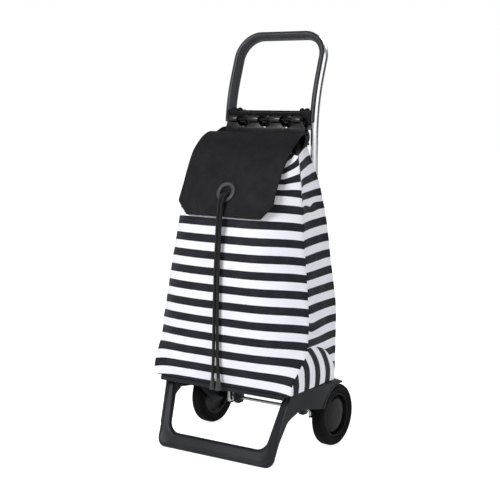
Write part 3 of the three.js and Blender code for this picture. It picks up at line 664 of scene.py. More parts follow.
# ------------------------------------------------------------------ chassis tube, grip and plugs
TUBE_X, TUBE_WIDE, TUBE_DEEP, TUBE_WALL, TUBE_LOW_Z = 0.114, 0.014, 0.024, 0.0014, 0.059
LEAN_START_Z, LEAN_R, LEAN = 0.690, 0.400, math.radians(20)
CORNER_R, HANDLE_Z = 0.055, 0.919
GRIP_LOW_Z = 0.724
GRIP_ARC = (-38, 150)         # degrees round the tube that the grip covers
GRIP_OFF, GRIP_OUT = 0.00035, 0.00315
ROOM = 0.0003                 # left round a part that passes through another
PLUG_GAP = 0.00035


def handle_path(from_z, straight_steps=4, lean_steps=18, corner_steps=22):
    """Centre line of the tube, up the left side, over the top and down the right."""
    left, start = [], 0.0
    if from_z < LEAN_START_Z:
        rise = LEAN_START_Z - from_z
        left = [Vector((-TUBE_X, 0, from_z + rise * k / straight_steps)) for k in range(straight_steps)]
    else:
        start = math.asin((from_z - LEAN_START_Z) / LEAN_R)
    for k in range(lean_steps + 1):
        a = start + (LEAN - start) * k / lean_steps
        left.append(Vector((-TUBE_X, LEAN_R * (1 - math.cos(a)), LEAN_START_Z + LEAN_R * math.sin(a))))
    up = Vector((0, math.sin(LEAN), math.cos(LEAN)))
    corner = left[-1] + up * ((HANDLE_Z - left[-1].z) / math.cos(LEAN) - CORNER_R)
    for k in range(corner_steps + 1):
        a = math.pi / 2 * k / corner_steps
        left.append(corner + up * CORNER_R * math.sin(a) + Vector((CORNER_R * (1 - math.cos(a)), 0, 0)))
    return left + [Vector((-p.x, p.y, p.z)) for p in reversed(left)]


def oval(grow=0.0, start=0.0, end=352.5, steps=47):
    """The tube's oval section, or an arc of it, in degrees."""
    deep, wide = TUBE_DEEP / 2 + grow, TUBE_WIDE / 2 + grow
    return [(deep * x, wide * y) for x, y in arc((0, 0), 1, start, end, steps)]


def upright_section(side, grow=0.0):
    """The oval where an upright stands, seen from above."""
    return [(side * TUBE_X + b, a) for a, b in oval(grow)]


def make_tube():
    path = handle_path(TUBE_LOW_Z)
    outside, faces = sweep(path, oval(), closed_ends=False)
    inside, inner_faces = sweep(path, oval(-TUBE_WALL), closed_ends=False)
    shift, sides = len(outside), len(oval())
    faces += [tuple(k + shift for k in face[::-1]) for face in inner_faces]
    for first in (0, shift - sides):
        ring = [(first + k, first + (k + 1) % sides) for k in range(sides)]
        faces += [(a, b, shift + b, shift + a) for a, b in ring]
    tube = face_outwards(new_piece("chassis_tube", outside + inside, faces, ALUMINIUM, 50))
    settle(tube, "frame", "aluminium_tube", "handle_tube")


def grip_piece(name, from_z, material, crisp, grow=0.0):
    """The cover round the tube's front and inside, or with grow the room that it needs."""
    spread, steps = 8000 * grow, 34
    start, end = GRIP_ARC[0] - spread, GRIP_ARC[1] + spread
    outer = oval(GRIP_OUT + grow, start, end, steps)
    inner = oval(GRIP_OFF - grow, start, end, steps)[::-1]
    corners = (0, steps, steps + 1, 2 * steps + 1)
    section = rounded(outer + inner, [0.0012 if k in corners else 0 for k in range(2 * steps + 2)], 3)
    return face_outwards(new_piece(name, *sweep(handle_path(from_z), section), material, crisp))


def make_plug(side, hand):
    lid = slab(upright_section(side), "z", TUBE_LOW_Z - 0.004, TUBE_LOW_Z - PLUG_GAP, 0.0009)
    core = slab(upright_section(side, -TUBE_WALL - PLUG_GAP), "z", TUBE_LOW_Z - 0.002, TUBE_LOW_Z + 0.022)
    plug = finish_solid(join(lid, [core]), f"{hand}_plug", FITTING)
    settle(plug, "frame", "black_plastic", f"{hand}_tube_plug")


make_tube()
settle(grip_piece("grip", GRIP_LOW_Z, GRIP, 50), "frame", "black_plastic", "handle_grip")
for side, hand in SIDES:
    make_plug(side, hand)


# ------------------------------------------------------------------ crossbar, clamp caps and hanger
BEAM = {"z0": 0.714, "z1": 0.751, "y0": -0.013, "y1": 0.008}
CLAMP = {"x0": 0.084, "x1": 0.112, "y0": -0.015, "y1": 0.024, "z0": 0.708, "z1": 0.752, "split": 0.008}
CLAMP_SCREW = (0.096, 0.724)
BOSS = [(0, -0.006), (0.006, -0.004), (0.006, 0.001), (0.0045, 0.0042), (0, 0.0052)]
HOOK_XS, HOOK_WIDTH = (-0.058, 0.0, 0.058), 0.014
RIB_XS = (-0.058, -0.029, 0.0, 0.029, 0.058)
FIN_HALF, FIN_LOW_Z = 0.0085, 0.7085
ROD_Y, ROD_Z, ROD_R = -0.026, 0.731, 0.003
ROLL_R, ROLL_HALF, SKIRT_HALF, SKIRT_LOW_Z = 0.008, 0.096, 0.108, 0.699
NOTCH_R, NOTCH_Z = 0.016, 0.729


def clamp_outline(side):
    x0, x1, z0, z1 = (CLAMP[key] for key in ("x0", "x1", "z0", "z1"))
    corners = [(x0, z1), (x1, z1), (x1, z0 + 0.016), (x1 - 0.015, z0), (x0 + 0.008, z0), (x0, z0 + 0.008)]
    return rounded([(side * x, z) for x, z in corners], [0.003, 0.003, 0.006, 0.006, 0.004, 0.004])


def clamp_rooms(side):
    """What a clamp leaves free: its screw's hole and the tube."""
    path = [p for p in handle_path(0.68) if p.z < 0.80 and p.x < 0]
    path = [Vector((side * abs(p.x), p.y, p.z)) for p in path]
    tube = face_outwards(new_piece("room", *sweep(path, oval(ROOM)), FITTING))
    return [rod("y", 0.0024, -0.03, 0.03, side * CLAMP_SCREW[0], CLAMP_SCREW[1]), tube]


def grip_room():
    return grip_piece("room", GRIP_LOW_Z - ROOM, FITTING, None, ROOM)


def make_hook(x):
    inner, outer = ROD_R + 0.0004, ROD_R + 0.0034
    cradle = arc((ROD_Y, ROD_Z), outer, 225, 405, 20) + arc((ROD_Y, ROD_Z), inner, 405, 225, 16)
    arm_y, bar_y, low_z = ROD_Y + 0.005, BEAM["y0"] + 0.001, ROD_Z - 0.001
    arm = [(arm_y, low_z), (bar_y, low_z), (bar_y, BEAM["z1"] - 0.008), (arm_y + 0.001, ROD_Z + 0.009)]
    ends = (x - HOOK_WIDTH / 2, x + HOOK_WIDTH / 2)
    return join(slab(cradle, "x", *ends, 0.0004), [slab(rounded(arm, 0.0015, 3), "x", *ends, 0.0008)])


def make_crossbar():
    y0, y1, z0, z1 = (BEAM[key] for key in ("y0", "y1", "z0", "z1"))
    reach = CLAMP["x0"] + 0.004
    bar = slab(rounded(rectangle(y0, y1, z0, z1), 0.006, 8), "x", -reach, reach)
    inside = reach - 0.008
    cut(bar, [box(-inside, inside, y1 - 0.008, y1 + 0.002, z0 + 0.005, z1 - 0.005)])
    join(bar, [box(x - 0.001, x + 0.001, y1 - 0.0085, y1 - 0.0005, z0 + 0.004, z1 - 0.004) for x in RIB_XS])
    dome = rounded(BOSS, [0, 0.001, 0.003, 0.004, 0], 5)
    for side, _ in SIDES:
        join(bar, [slab(clamp_outline(side), "y", CLAMP["y0"], CLAMP["split"], 0.002)])
        for x in (0.084, 0.097):
            join(bar, [lathe("boss", dome, (side * x, -0.003, CLAMP["z1"]), (0, 0, 1), FITTING, 40)])
        cut(bar, clamp_rooms(side))
    cut(bar, [grip_room()])
    join(bar, [make_hook(x) for x in HOOK_XS])
    # a fin under each hook carries it on the bar's front
    join(bar, [box(x - FIN_HALF, x + FIN_HALF, y0 + 0.001, y0 + 0.006, FIN_LOW_Z, z0 + 0.006, 0.0012)
               for x in HOOK_XS])
    settle(finish_solid(bar, "crossbar_moulding", FITTING), "frame", "black_plastic", "crossbar")


def make_clamp_cap(side, hand):
    cap = slab(clamp_outline(side), "y", CLAMP["split"] + 0.00035, CLAMP["y1"], 0.0022)
    cut(cap, [*clamp_rooms(side), grip_room()])
    settle(finish_solid(cap, f"{hand}_clamp_back", FITTING), "frame", "black_plastic", f"{hand}_clamp_cap")


def make_hanger():
    hanger = rod("x", ROLL_R, -ROLL_HALF, ROLL_HALF, ROD_Y, ROD_Z, 0.0015, 64)
    right = [(SKIRT_HALF, SKIRT_LOW_Z), (SKIRT_HALF, SKIRT_LOW_Z + 0.013), (ROLL_HALF, ROD_Z)]
    outline = right + [(-x, z) for x, z in right[::-1]]
    join(hanger, [slab(rounded(outline, [0.003, 0.006, 0, 0, 0.006, 0.003]), "y", -0.0285, -0.024, 0.0012)])
    notches = [slab(circle((x, NOTCH_Z), NOTCH_R, 64), "y", -0.06, 0.01) for x in HOOK_XS]
    cut(hanger, [*notches, rod("x", ROD_R + ROOM, -0.2, 0.2, ROD_Y, ROD_Z)])
    modified(hanger, softer(0.0005))
    settle(finish_solid(hanger, "hanger", SATIN, 28), "bag", "black_plastic", "hanger_bar")


make_crossbar()
make_hanger()
for side, hand in SIDES:
    make_clamp_cap(side, hand)


# ------------------------------------------------------------------ wheels
WHEEL_X, WHEEL_Z = 0.1665, 0.070
TYRE = [(0.0500, -0.0120), (0.0535, -0.0134), (0.0590, -0.0155), (0.0640, -0.0152), (0.0680, -0.0126),
        (0.0700, -0.0080), (0.0700, 0.0080), (0.0680, 0.0126), (0.0640, 0.0152), (0.0590, 0.0155),
        (0.0570, 0.0143), (0.0555, 0.0146), (0.0535, 0.0139), (0.0500, 0.0120)]
RIM = [(0.0078, -0.0135), (0.0130, -0.0135), (0.0140, -0.0030), (0.0400, -0.0030), (0.0440, -0.0115),
       (0.0496, -0.0115), (0.0496, 0.0115), (0.0480, 0.0128), (0.0463, 0.0120), (0.0440, 0.0010),
       (0.0140, 0.0010), (0.0130, 0.0035), (0.0078, 0.0035)]
HUB_CAP = [(0, 0.0086), (0.0200, 0.0079), (0.0330, 0.0058), (0.0395, 0.0014), (0.0428, 0.0014),
           (0.0428, 0.0042), (0.0405, 0.0062), (0.0350, 0.0082), (0.0200, 0.0102), (0, 0.0108)]
HUB_ROUNDING = [0, 0.03, 0.02, 0.002, 0.0006, 0.0008, 0.003, 0.01, 0.03, 0]


def make_wheel(side, hand):
    centre = (side * WHEEL_X, 0, WHEEL_Z)
    for name, profile, material, sides, slot, node in (
            ("tyre_tread", rounded(TYRE, 0.004, 4), RUBBER, 144, "tyre", "tyre"),
            ("rim_moulding", rounded(RIM, 0.0012, 3), FITTING, 128, "black_plastic", "rim"),
            ("hub_dome", rounded(HUB_CAP, HUB_ROUNDING, 6), HUB, 128, "gloss_plastic", "hub_cap")):
        piece = lathe(f"{hand}_{name}", profile, centre, (side, 0, 0), material, sides)
        settle(piece, f"{hand}_wheel", slot, f"{hand}_{node}")


for side, hand in SIDES:
    make_wheel(side, hand)


# ------------------------------------------------------------------ base moulding
FOOT = {"y0": -0.243, "y1": -0.181, "z1": 0.148, "half0": 0.154, "half1": 0.164}
GAP_LOW = {"half": 0.128, "z": 0.033}
GAP_HIGH = {"half": 0.147, "z": 0.1475}
DECK = {"z0": 0.151, "z1": 0.156, "y0": -0.205, "y1": 0.016, "half0": 0.168, "half1": 0.186}
FLARE_Y = -0.070              # where the deck and the side walls reach their full width
ARCH_R, WALL = 0.075, 0.003
# the foot's section from its inner to its outer edge: share of the way across, and depth from the front
FOOT_SECTION = [
    (0.0, 0.023), (0.0, 0.013), (0.01, 0.0085), (0.05, 0.0058), (0.12, 0.0046), (0.24, 0.0041),
    (0.38, 0.0036), (0.52, 0.0028), (0.63, 0.0015), (0.70, 0.0004), (0.75, 0.0), (0.80, 0.0006),
    (0.88, 0.0034), (0.95, 0.0068), (0.99, 0.0105), (1.0, 0.0145), (1.0, 0.023),
]
# y and height of the side wall's lower edge, from the leg back to where the mudguard begins
WALL_EDGE = [(-0.216, 0.036), (-0.204, 0.058), (-0.193, 0.078), (-0.184, 0.092), (-0.165, 0.1036),
             (-0.146, 0.1105), (-0.119, 0.1090), (-0.095, 0.1045), (FLARE_Y, 0.1005)]
WALL_END_Y = 0.009
TIP_Z, TIP_X, TIP_Y = 0.1475, 0.130, -0.03       # the deck thins above, outside and behind these


def foot_front(z):
    """Where the front of the leaning foot lies at a height."""
    return FOOT["y0"] + (FOOT["y1"] - FOOT["y0"]) * z / FOOT["z1"]


def foot_half(z):
    """Half the foot's width at a height."""
    return FOOT["half0"] + (FOOT["half1"] - FOOT["half0"]) * z / FOOT["z1"]


def corner_loop(half_low, low, half_high, high, low_radius, high_radius):
    """A loop of four rounded corners with the same count of points whatever its size."""
    side_steps, corner_steps, pull = 26, 12, 0.54
    corners = [(-half_low, low), (half_low, low), (half_high, high), (-half_high, high)]
    radii = [low_radius, low_radius, high_radius, high_radius]
    loop, spans = [], []
    for k in range(4):
        here = Vector(corners[k])
        before, after = ((Vector(corners[m % 4]) - here).normalized() for m in (k - 1, k + 1))
        reach = radii[k] * math.tan((math.pi - before.angle(after)) / 2)
        spans.append((here + before * reach, here, here + after * reach))
    for k, (start, here, end) in enumerate(spans):
        a, b = start.lerp(here, pull), end.lerp(here, pull)
        for i in range(corner_steps):
            t, u = i / corner_steps, 1 - i / corner_steps
            loop.append(start * u**3 + a * 3 * t * u**2 + b * 3 * t**2 * u + end * t**3)
        towards = spans[(k + 1) % 4][0]
        loop += [end.lerp(towards, i / side_steps) for i in range(side_steps)]
    return loop


def make_foot():
    inner = corner_loop(GAP_LOW["half"], GAP_LOW["z"], GAP_HIGH["half"], GAP_HIGH["z"], 0.027, 0.006)
    outer = corner_loop(FOOT["half0"], 0, FOOT["half1"], DECK["z0"] + 0.002, 0.019, 0.004)
    points = []
    for a, b in zip(inner, outer):
        for share, depth in FOOT_SECTION:
            x, z = a.lerp(b, share)
            behind = depth if depth < 0.02 else 0.014 + 0.009 * blend_in(0.03, 0.12, z)
            points.append((x, foot_front(z) + behind, z))
    faces = grid_faces(len(FOOT_SECTION), len(inner), wrap_columns=True, wrap_rows=True)
    return modified(face_outwards(new_piece("foot", points, faces, BASE)), SMOOTHER)


def side_wall(side):
    """The wall from the leg back to the mudguard; its lower edge sweeps down behind the leg."""
    edge_at = smooth_values(WALL_EDGE)
    front_y = WALL_EDGE[0][0]
    columns, rows = 64, 10
    outer, inner = [], []
    for j in range(rows + 1):
        for i in range(columns + 1):
            y = front_y + (WALL_END_Y - front_y) * i / columns
            low = edge_at(y)[0] if y < FLARE_Y + 0.001 else WHEEL_Z + math.sqrt(ARCH_R**2 - y * y)
            top = min(DECK["z0"] + 0.002, low + max(0.004, (y - foot_front(low) - 0.006) * 2.9))
            z = low + (top - low) * j / rows
            leg = foot_half(z) - 0.0012
            x = leg + (DECK["half1"] - leg) * blend_in(-0.235, FLARE_Y + 0.02, y)
            thick = 0.016 - 0.012 * blend_in(-0.150, -0.105, y)
            outer.append((side * x, y, z))
            inner.append((side * (x - thick), y, z))
    across, total = columns + 1, len(outer)
    faces = grid_faces(columns, rows)
    faces += [tuple(k + total for k in face[::-1]) for face in faces]
    rim = [*range(across), *(j * across + columns for j in range(1, rows + 1))]
    rim += [*range(total - 2, total - 1 - across, -1), *(j * across for j in range(rows - 1, 0, -1))]
    faces += [(a, b, b + total, a + total) for a, b in zip(rim, rim[1:] + rim[:1])]
    return modified(face_outwards(new_piece("side_wall", outer + inner, faces, BASE)), softer(0.0009))


def mudguard_parts(side):
    """Arch over the wheel with its rolled lip, and the wall inside it."""
    top = DECK["z1"] - 0.001
    cover_x, lip_x0, lip_x1 = (side * (DECK["half1"] + step) for step in (-0.0006, -0.004, 0.0009))

    def arch(low_r, high_r):
        return arc((0, WHEEL_Z), low_r, 83, 156, 30) + arc((0, WHEEL_Z), high_r, 156, 83, 30)

    inner = rounded([(-0.074, top), (-0.074, 0.100), (-0.030, 0.056), (0.014, 0.056), (0.014, top)],
                    [0, 0.012, 0.012, 0.01, 0])
    return [slab(arch(ARCH_R, ARCH_R + WALL), "x", side * 0.144, cover_x, 0.0004),
            slab(arch(ARCH_R - 0.0008, ARCH_R + 0.0042), "x", lip_x0, lip_x1, 0.0009),
            slab(inner, "x", side * 0.144, side * 0.147, 0.0008)]


def axle_bracket(side):
    top = DECK["z1"] - 0.001
    outline = [(-0.016, top), (-0.016, 0.066), (-0.009, 0.057), (0.009, 0.057), (0.014, 0.066), (0.014, top)]
    outline = rounded(outline, [0, 0.006, 0.004, 0.004, 0.006, 0])
    return slab(outline, "x", side * 0.084, side * 0.096, 0.0012)


def make_base():
    d = DECK
    flare, heel, middle = (d["half1"], FLARE_Y), (d["half1"], 0.009), (TUBE_X + 0.014, d["y1"])
    ring = [(-d["half0"], d["y0"]), (d["half0"], d["y0"]), flare, heel, middle]
    ring += [(-x, y) for x, y in (middle, heel, flare)]
    ring = rounded(ring, [0.014, 0.014, 0.05, 0.006, 0.02, 0.02, 0.006, 0.05], 6)
    base = slab(ring, "z", d["z0"], d["z1"], 0.0016)
    parts = [make_foot(), box(-0.165, 0.165, d["y0"] + 0.0004, d["y0"] + 0.0044, 0.1455, 0.1535, 0.0012)]
    # ribs under the deck
    top = d["z0"] + 0.001
    parts += [box(x - 0.0015, x + 0.0015, d["y0"] + 0.024, -0.020, 0.1455, top, 0.0006)
              for x in (-0.112, -0.056, 0.0, 0.056, 0.112)]
    parts += [box(-0.150, 0.150, y - 0.0015, y + 0.0015, 0.1465, top, 0.0006) for y in (-0.150, -0.095)]
    cuts = []
    for side, _ in SIDES:
        socket = sorted((side * (TUBE_X - 0.012), side * (TUBE_X + 0.012)))
        parts += [side_wall(side), *mudguard_parts(side), axle_bracket(side),
                  box(*socket, -0.019, 0.016, 0.096, d["z1"] - 0.001, 0.002)]
        cuts.append(slab(upright_section(side, ROOM), "z", 0.05, 0.20))
        cuts.append(rod("y", 0.0022, 0.0, 0.03, side * TUBE_X, 0.128))
    cuts.append(rod("x", 0.00435, -0.21, 0.21, 0, WHEEL_Z))
    cut(join(base, parts), cuts)
    # the deck thins to a tip behind each wheel
    for vertex in base.data.vertices:
        x, y, z = abs(vertex.co.x), vertex.co.y - AXLE_Y, vertex.co.z
        if z > TIP_Z and y > TIP_Y and x > TIP_X:
            vertex.co.z -= (z - TIP_Z) * 0.85 * blend_in(TIP_Y, 0.012, y) * blend_in(TIP_X, 0.150, x)
    settle(finish_solid(base, "base", BASE, 30), "frame", "base_plastic", "base_moulding")


make_base()


# ------------------------------------------------------------------ striped bag
BAG_Z0, BACK_Y, GUSSET_TALL = 0.157, -0.016, 0.096
# height, half width at the front corners, half width at the back, front middle y, corner seam y
bag_at = smooth_values([
    (0.157, 0.183, 0.182, -0.208, -0.203), (0.187, 0.1845, 0.183, -0.211, -0.194),
    (0.213, 0.190, 0.184, -0.212, -0.175), (0.243, 0.194, 0.1845, -0.212, -0.157),
    (0.285, 0.195, 0.185, -0.212, -0.150), (0.330, 0.191, 0.184, -0.210, -0.144),
    (0.420, 0.179, 0.171, -0.204, -0.136), (0.520, 0.165, 0.157, -0.190, -0.126),
    (0.600, 0.156, 0.137, -0.162, -0.120), (0.655, 0.1455, 0.114, -0.127, -0.115),
    (0.680, 0.140, 0.106, -0.108, -0.110),
])
FRONT_COLUMNS, SIDE_COLUMNS, BACK_COLUMNS, LOW_ROWS, HIGH_ROWS = 100, 36, 64, 22, 100
# folds of the sides: depth (outwards is positive), height at the corner seam, fall to the back, half height
SIDE_FOLDS = [(-0.010, 0.577, 0.012, 0.009), (0.005, 0.596, 0.010, 0.010),
              (-0.009, 0.296, 0.030, 0.010), (0.005, 0.318, 0.020, 0.011)]


def waves(x, y, z, scale, seed=0.0):
    """Soft irregular waves of the cloth."""
    return noise.noise(Vector((x * scale + seed, y * scale - seed, z * scale + 2 * seed)))


def crease(z, where, height):
    return math.exp(-(((z - where) / height) ** 2))


def gusset_top(t):
    """Height of the seam between the base gusset and the side; t runs from the corner seam to the back."""
    return BAG_Z0 + 0.008 + (GUSSET_TALL - 0.008) * math.sqrt(max(0.0, 1 - t * t))


def rim_height(part, t):
    """The bag's top edge dips to a V at each corner seam and rises to the front and back."""
    if part == "side":
        return 0.658 + 0.018 * t
    if part == "front":
        return 0.658 + 0.012 * blend_in(0.0, 0.25, 1 - abs(t))
    return 0.676


def left_sag(z):
    """The left front corner sags out a little over the base and is gathered in at the mouth."""
    return 0.006 * (1 - blend_in(0.19, 0.33, z)) - 0.008 * blend_in(0.60, 0.655, z)


def front_point(s, z):
    """The front panel at s from -1 to 1 between the corner seams."""
    corner_half, _, front_y, seam_y = bag_at(z)
    reach = 1 - abs(s) ** 4
    x, y = s * corner_half, seam_y + (front_y - seam_y) * reach
    x -= left_sag(z) * s**6 if s < 0 else 0.0
    # handling waves over the panel, none along its sewn edges
    loose = reach * blend_in(BAG_Z0, BAG_Z0 + 0.05, z)
    y += loose * (0.0030 * waves(x, 0, z, 9.0) + 0.0012 * waves(x, 0, z, 24.0, 3.0))
    # the gathered mouth pulls folds down from the corners
    gather = blend_in(0.55, 0.64, z) * blend_in(0.35, 0.75, abs(s)) * (1 - abs(s) ** 12)
    fan = math.sin(95 * (z + 0.55 * abs(x)) + math.copysign(1, x))
    y += 0.0045 * gather * fan
    # short puckers beside the corner seam
    near = math.exp(-(1 - abs(s)) / 0.07) * (1 - abs(s) ** 40)
    y += 0.0016 * near * math.sin(z * 190 + 5 * waves(x, 0, z, 7.0, 1.0))
    return x, y, z


def side_point(side, t, z):
    """A side panel or its base gusset, at t from the corner seam (0) to the back (1)."""
    corner_half, back_half, _, seam_y = bag_at(z)
    x, y = corner_half + (back_half - corner_half) * t, seam_y + (BACK_Y - seam_y) * t
    arc_z = gusset_top(t)
    free = 1 - (2 * t - 1) ** 4
    x += left_sag(z) * (1 - t) ** 2 if side < 0 else 0.0
    # the side falls in a little between its seams and rolls out at the base
    above = blend_in(arc_z, arc_z + 0.05, z)
    x -= free * (0.006 * blend_in(0.40, 0.60, z) + 0.002 * above)
    wave = 0.0035 * waves(side * 3, y, z, 11.0, 2.0) + 0.0012 * waves(side * 3, y, z, 30.0, 5.0)
    x += free * above * wave
    # folds start at the corner seam, below the flap and over the gusset, and a third lies further back
    start = (1 - t) ** 2 * min(1, t * 9)
    for depth, where, fall, height in SIDE_FOLDS:
        x += depth * crease(z, where - fall * t, height) * start
    x -= 0.005 * crease(z, 0.549 + 0.026 * (t - 0.50), 0.008) * crease(t, 0.60, 0.28)
    near = (math.exp(-t / 0.12) + math.exp(-(1 - t) / 0.10)) * free
    x += 0.0016 * near * math.sin(z * 165 + 4 * waves(0, y, z, 8.0, side))
    # the gusset bulges between its arc and the floor
    if z < arc_z:
        x += 0.004 * math.sin(math.pi * (z - BAG_Z0) / (arc_z - BAG_Z0)) * free
    return side * x, y, z


def back_point(share, z):
    """The back panel at a share from -1 to 1: the tubes hold it flat, and slack waves hang between them."""
    x = bag_at(z)[1] * share
    loose = (1 - share**4) * blend_in(BAG_Z0, BAG_Z0 + 0.04, z) * (1 - blend_in(0.60, 0.67, z))
    return x, BACK_Y + loose * (0.0020 * waves(x, 4, z, 9.0, 6.0) - 0.0012), z


def stripe_up(part, t, z):
    """How far up the printed cloth a point is: the corners of the front are hitched up under the flap."""
    if part == "front":
        droop = 0.0074 * t**8 if t > 0 else 0.011 * t**6
        hitch = 0.62 * max(0.0, z - 0.5785) * min(1.0, (1 - abs(t)) / 0.2) * blend_in(0.45, 0.75, abs(t))
        return z + droop + hitch
    if part == "back":
        return z - 0.001
    lean = 0.0055 * (1 - t) * blend_in(0.33, 0.54, z)
    fold = 0.0135 * blend_in(0.545, 0.575, z) * (1 - 0.35 * t) + 0.008 * blend_in(0.585, 0.62, z) * (1 - t)
    low_fold = 0.010 * crease(z, 0.296 - 0.030 * t, 0.014) * (1 - t) ** 2 * min(1, t * 6)
    tuck = 0.008 * crease(z, 0.547, 0.011) * crease(t, 0.50, 0.15)
    return z + 0.0005 + lean + fold + low_fold + tuck


def gusset_up(t, z):
    """Stripes of the gusset run up and down, bowed like its back seam."""
    seam_y = bag_at(z)[3]
    share = (z - BAG_Z0) / GUSSET_TALL
    return 0.820 * (seam_y + (BACK_Y - seam_y) * t) + 0.0345 * share**2 + 0.0114 * share**3 + 0.520


def bag_height(part, t, row):
    arc_z = gusset_top({"front": 0.0, "side": t, "back": 1.0}[part])
    if row <= LOW_ROWS:
        return BAG_Z0 + (arc_z - BAG_Z0) * row / LOW_ROWS
    return arc_z + (rim_height(part, t) - arc_z) * (row - LOW_ROWS) / HIGH_ROWS


def bag_point(part, t, side, row):
    z = bag_height(part, t, row)
    if part == "front":
        return front_point(t, z)
    return side_point(side, t, z) if part == "side" else back_point(t, z)


def bag_print(part, t, side, row, in_gusset):
    """Where a point lies on the printed cloth."""
    x, y, z = bag_point(part, t, side, row)
    if in_gusset:
        return z + 1.5, gusset_up(t, z)
    return {"front": x, "side": y + 1.0, "back": x + 0.5}[part], stripe_up(part, t, z)


def make_bag():
    """One shell round the bag: its columns run on the corner seams and its rows on the gusset seams."""
    # each panel: its part, side, columns, and where t starts and ends
    panels = (("front", 0, FRONT_COLUMNS, -1, 1), ("side", 1, SIDE_COLUMNS, 0, 1),
              ("back", 0, BACK_COLUMNS, 1, -1), ("side", -1, SIDE_COLUMNS, 1, 0))
    columns = []
    for part, side, count, first, last in panels:
        stops = [first + (last - first) * i / count for i in range(count + 1)]
        columns += [(part, t0, t1, side) for t0, t1 in zip(stops, stops[1:])]
    rows = LOW_ROWS + HIGH_ROWS
    points = [bag_point(part, t, side, row) for row in range(rows + 1) for part, t, _, side in columns]
    uvs = []
    for j in range(rows):
        for part, t0, t1, side in columns:
            in_gusset = part == "side" and j < LOW_ROWS
            uvs += [bag_print(part, t, side, row, in_gusset)
                    for t, row in ((t0, j), (t1, j), (t1, j + 1), (t0, j + 1))]
    faces = grid_faces(len(columns), rows, wrap_columns=True)
    bag = new_piece("bag_shell", points, faces, STRIPED, None, uvs)
    pinch_seams(bag, columns, rows)
    modified(bag, cloth(0.0012), ("SUBSURF", {"levels": 1, "render_levels": 1, "uv_smooth": "NONE"}))
    settle(bag, "bag", "striped_fabric", "bag_front_panel", "bag_back_panel", "bag_left_side_panel",
           "bag_right_side_panel", "bag_left_base_gusset", "bag_right_base_gusset")


def pinch_seams(bag, columns, rows):
    """Draws each seam into a narrow groove between two soft ridges."""
    around = len(columns)
    mesh = bag.data
    normals = [v.normal.copy() for v in mesh.vertices]

    def push(k, amount):
        mesh.vertices[k].co += normals[k] * amount

    for j in range(rows + 1):
        for i in (0, FRONT_COLUMNS, FRONT_COLUMNS + SIDE_COLUMNS, around - SIDE_COLUMNS):
            for step, amount in ((0, -0.0012), (1, 0.0006), (-1, 0.0006)):
                push(j * around + (i + step) % around, amount)
    for i, (part, t, _, _) in enumerate(columns):
        if part == "side" and 0 < t < 1:
            for step, amount in ((0, -0.0014), (1, 0.0007), (-1, 0.0007)):
                push((LOW_ROWS + step) * around + i, amount)


make_bag()


# ------------------------------------------------------------------ floor of the bag and its board
def floor_outline(inset):
    front = [front_point(-1 + k / 12, BAG_Z0 + 0.003)[:2] for k in range(25)]
    half = bag_at(BAG_Z0)[1]
    shrink = 1 - inset / half
    corners = [(half * shrink, BACK_Y - inset), (-half * shrink, BACK_Y - inset)]
    return [(x * shrink, y + inset) for x, y in front] + corners


def make_bag_floor():
    panel = slab(floor_outline(0.0045), "z", BAG_Z0, BAG_Z0 + 0.002, 0.0007)
    finish_solid(panel, "bag_floor", BLACK_CLOTH, 40)
    layer = panel.data.uv_layers.new(name="cloth")
    for loop in panel.data.loops:
        layer.data[loop.index].uv = panel.data.vertices[loop.vertex_index].co.xy
    settle(panel, "bag", "black_fabric", "bag_bottom_panel")
    board = slab(floor_outline(0.010), "z", BAG_Z0 + 0.0024, BAG_Z0 + 0.0054, 0.0007)
    settle(finish_solid(board, "stiffener", BOARD, 40), "bag", "board", "base_board")


# ------------------------------------------------------------------ collar, hem and ear pieces
HEM_CORNERS = [(-0.104, -0.044), (-0.116, -0.074), (-0.108, -0.081), (0.108, -0.081), (0.116, -0.074),
               (0.104, -0.044)]
HEM_Z, HEM_R = 0.6842, 0.0033
PLEATS = 46
BACK_STRIP_Z = (0.6755, 0.7035)
# the dark strip on the front behind the grommet is painted shade for the grommet's hole
SHADE_STRIP_WIDE, SHADE_STRIP_Z = 0.034, (0.668, 0.550)
# the top edge of the right ear piece, from the back to the front
EAR_TOP = [(0.100, -0.0232, 0.7125), (0.111, -0.0300, 0.7135), (0.1205, -0.043, 0.7055),
           (0.1245, -0.060, 0.6975)]
EAR_BULGE = {"left": 0.004, "right": 0.0085}


def rim_point(part, side, t):
    z = rim_height(part, t)
    return Vector(front_point(t, z) if part == "front" else side_point(side, t, z))


def rim_line():
    """The bag's top edge from the back left corner round the front to the back right one."""
    line = [rim_point("side", -1, 1 - k / 20) for k in range(20)]
    line += [rim_point("front", 0, -1 + k / 30) for k in range(61)]
    return line + [rim_point("side", 1, k / 20) for k in range(1, 21)]


def hem_line(count):
    corners = [(x * 0.985, y + 0.001) for x, y in HEM_CORNERS]
    flat = rounded(corners, [0, 0.010, 0.010, 0.010, 0.010, 0], 6, closed=False)
    return evenly([Vector((x, y, HEM_Z)) for x, y in flat], count)


def make_collar():
    columns, rows = 300, 14
    low, high = evenly(rim_line(), columns), hem_line(columns)
    middle_y = -0.055

    def place(u, v):
        k = round(u * columns)
        point = low[k].lerp(high[k], v)
        outwards = Vector((point.x, point.y - middle_y, 0)).normalized()
        # the drawstring gathers the cloth into pleats that fade towards the seam
        wave = math.sin(2 * math.pi * PLEATS * u + 1.6 * waves(u * 4, 0, 0, 3.0))
        pleat = 0.0020 * wave * blend_in(0.05, 0.95, v)
        point += outwards * (pleat + 0.004 * math.sin(math.pi * v) - 0.0016 * (1 - v))
        point.z += 0.0012 * wave * v * (1 - v) * 4 - 0.0004
        return point

    collar = cloth_sheet("collar", place, columns, rows, 0.0009, BLACK_CLOTH, (0.9, 0.05))
    settle(collar, "bag", "black_fabric", "bag_collar")


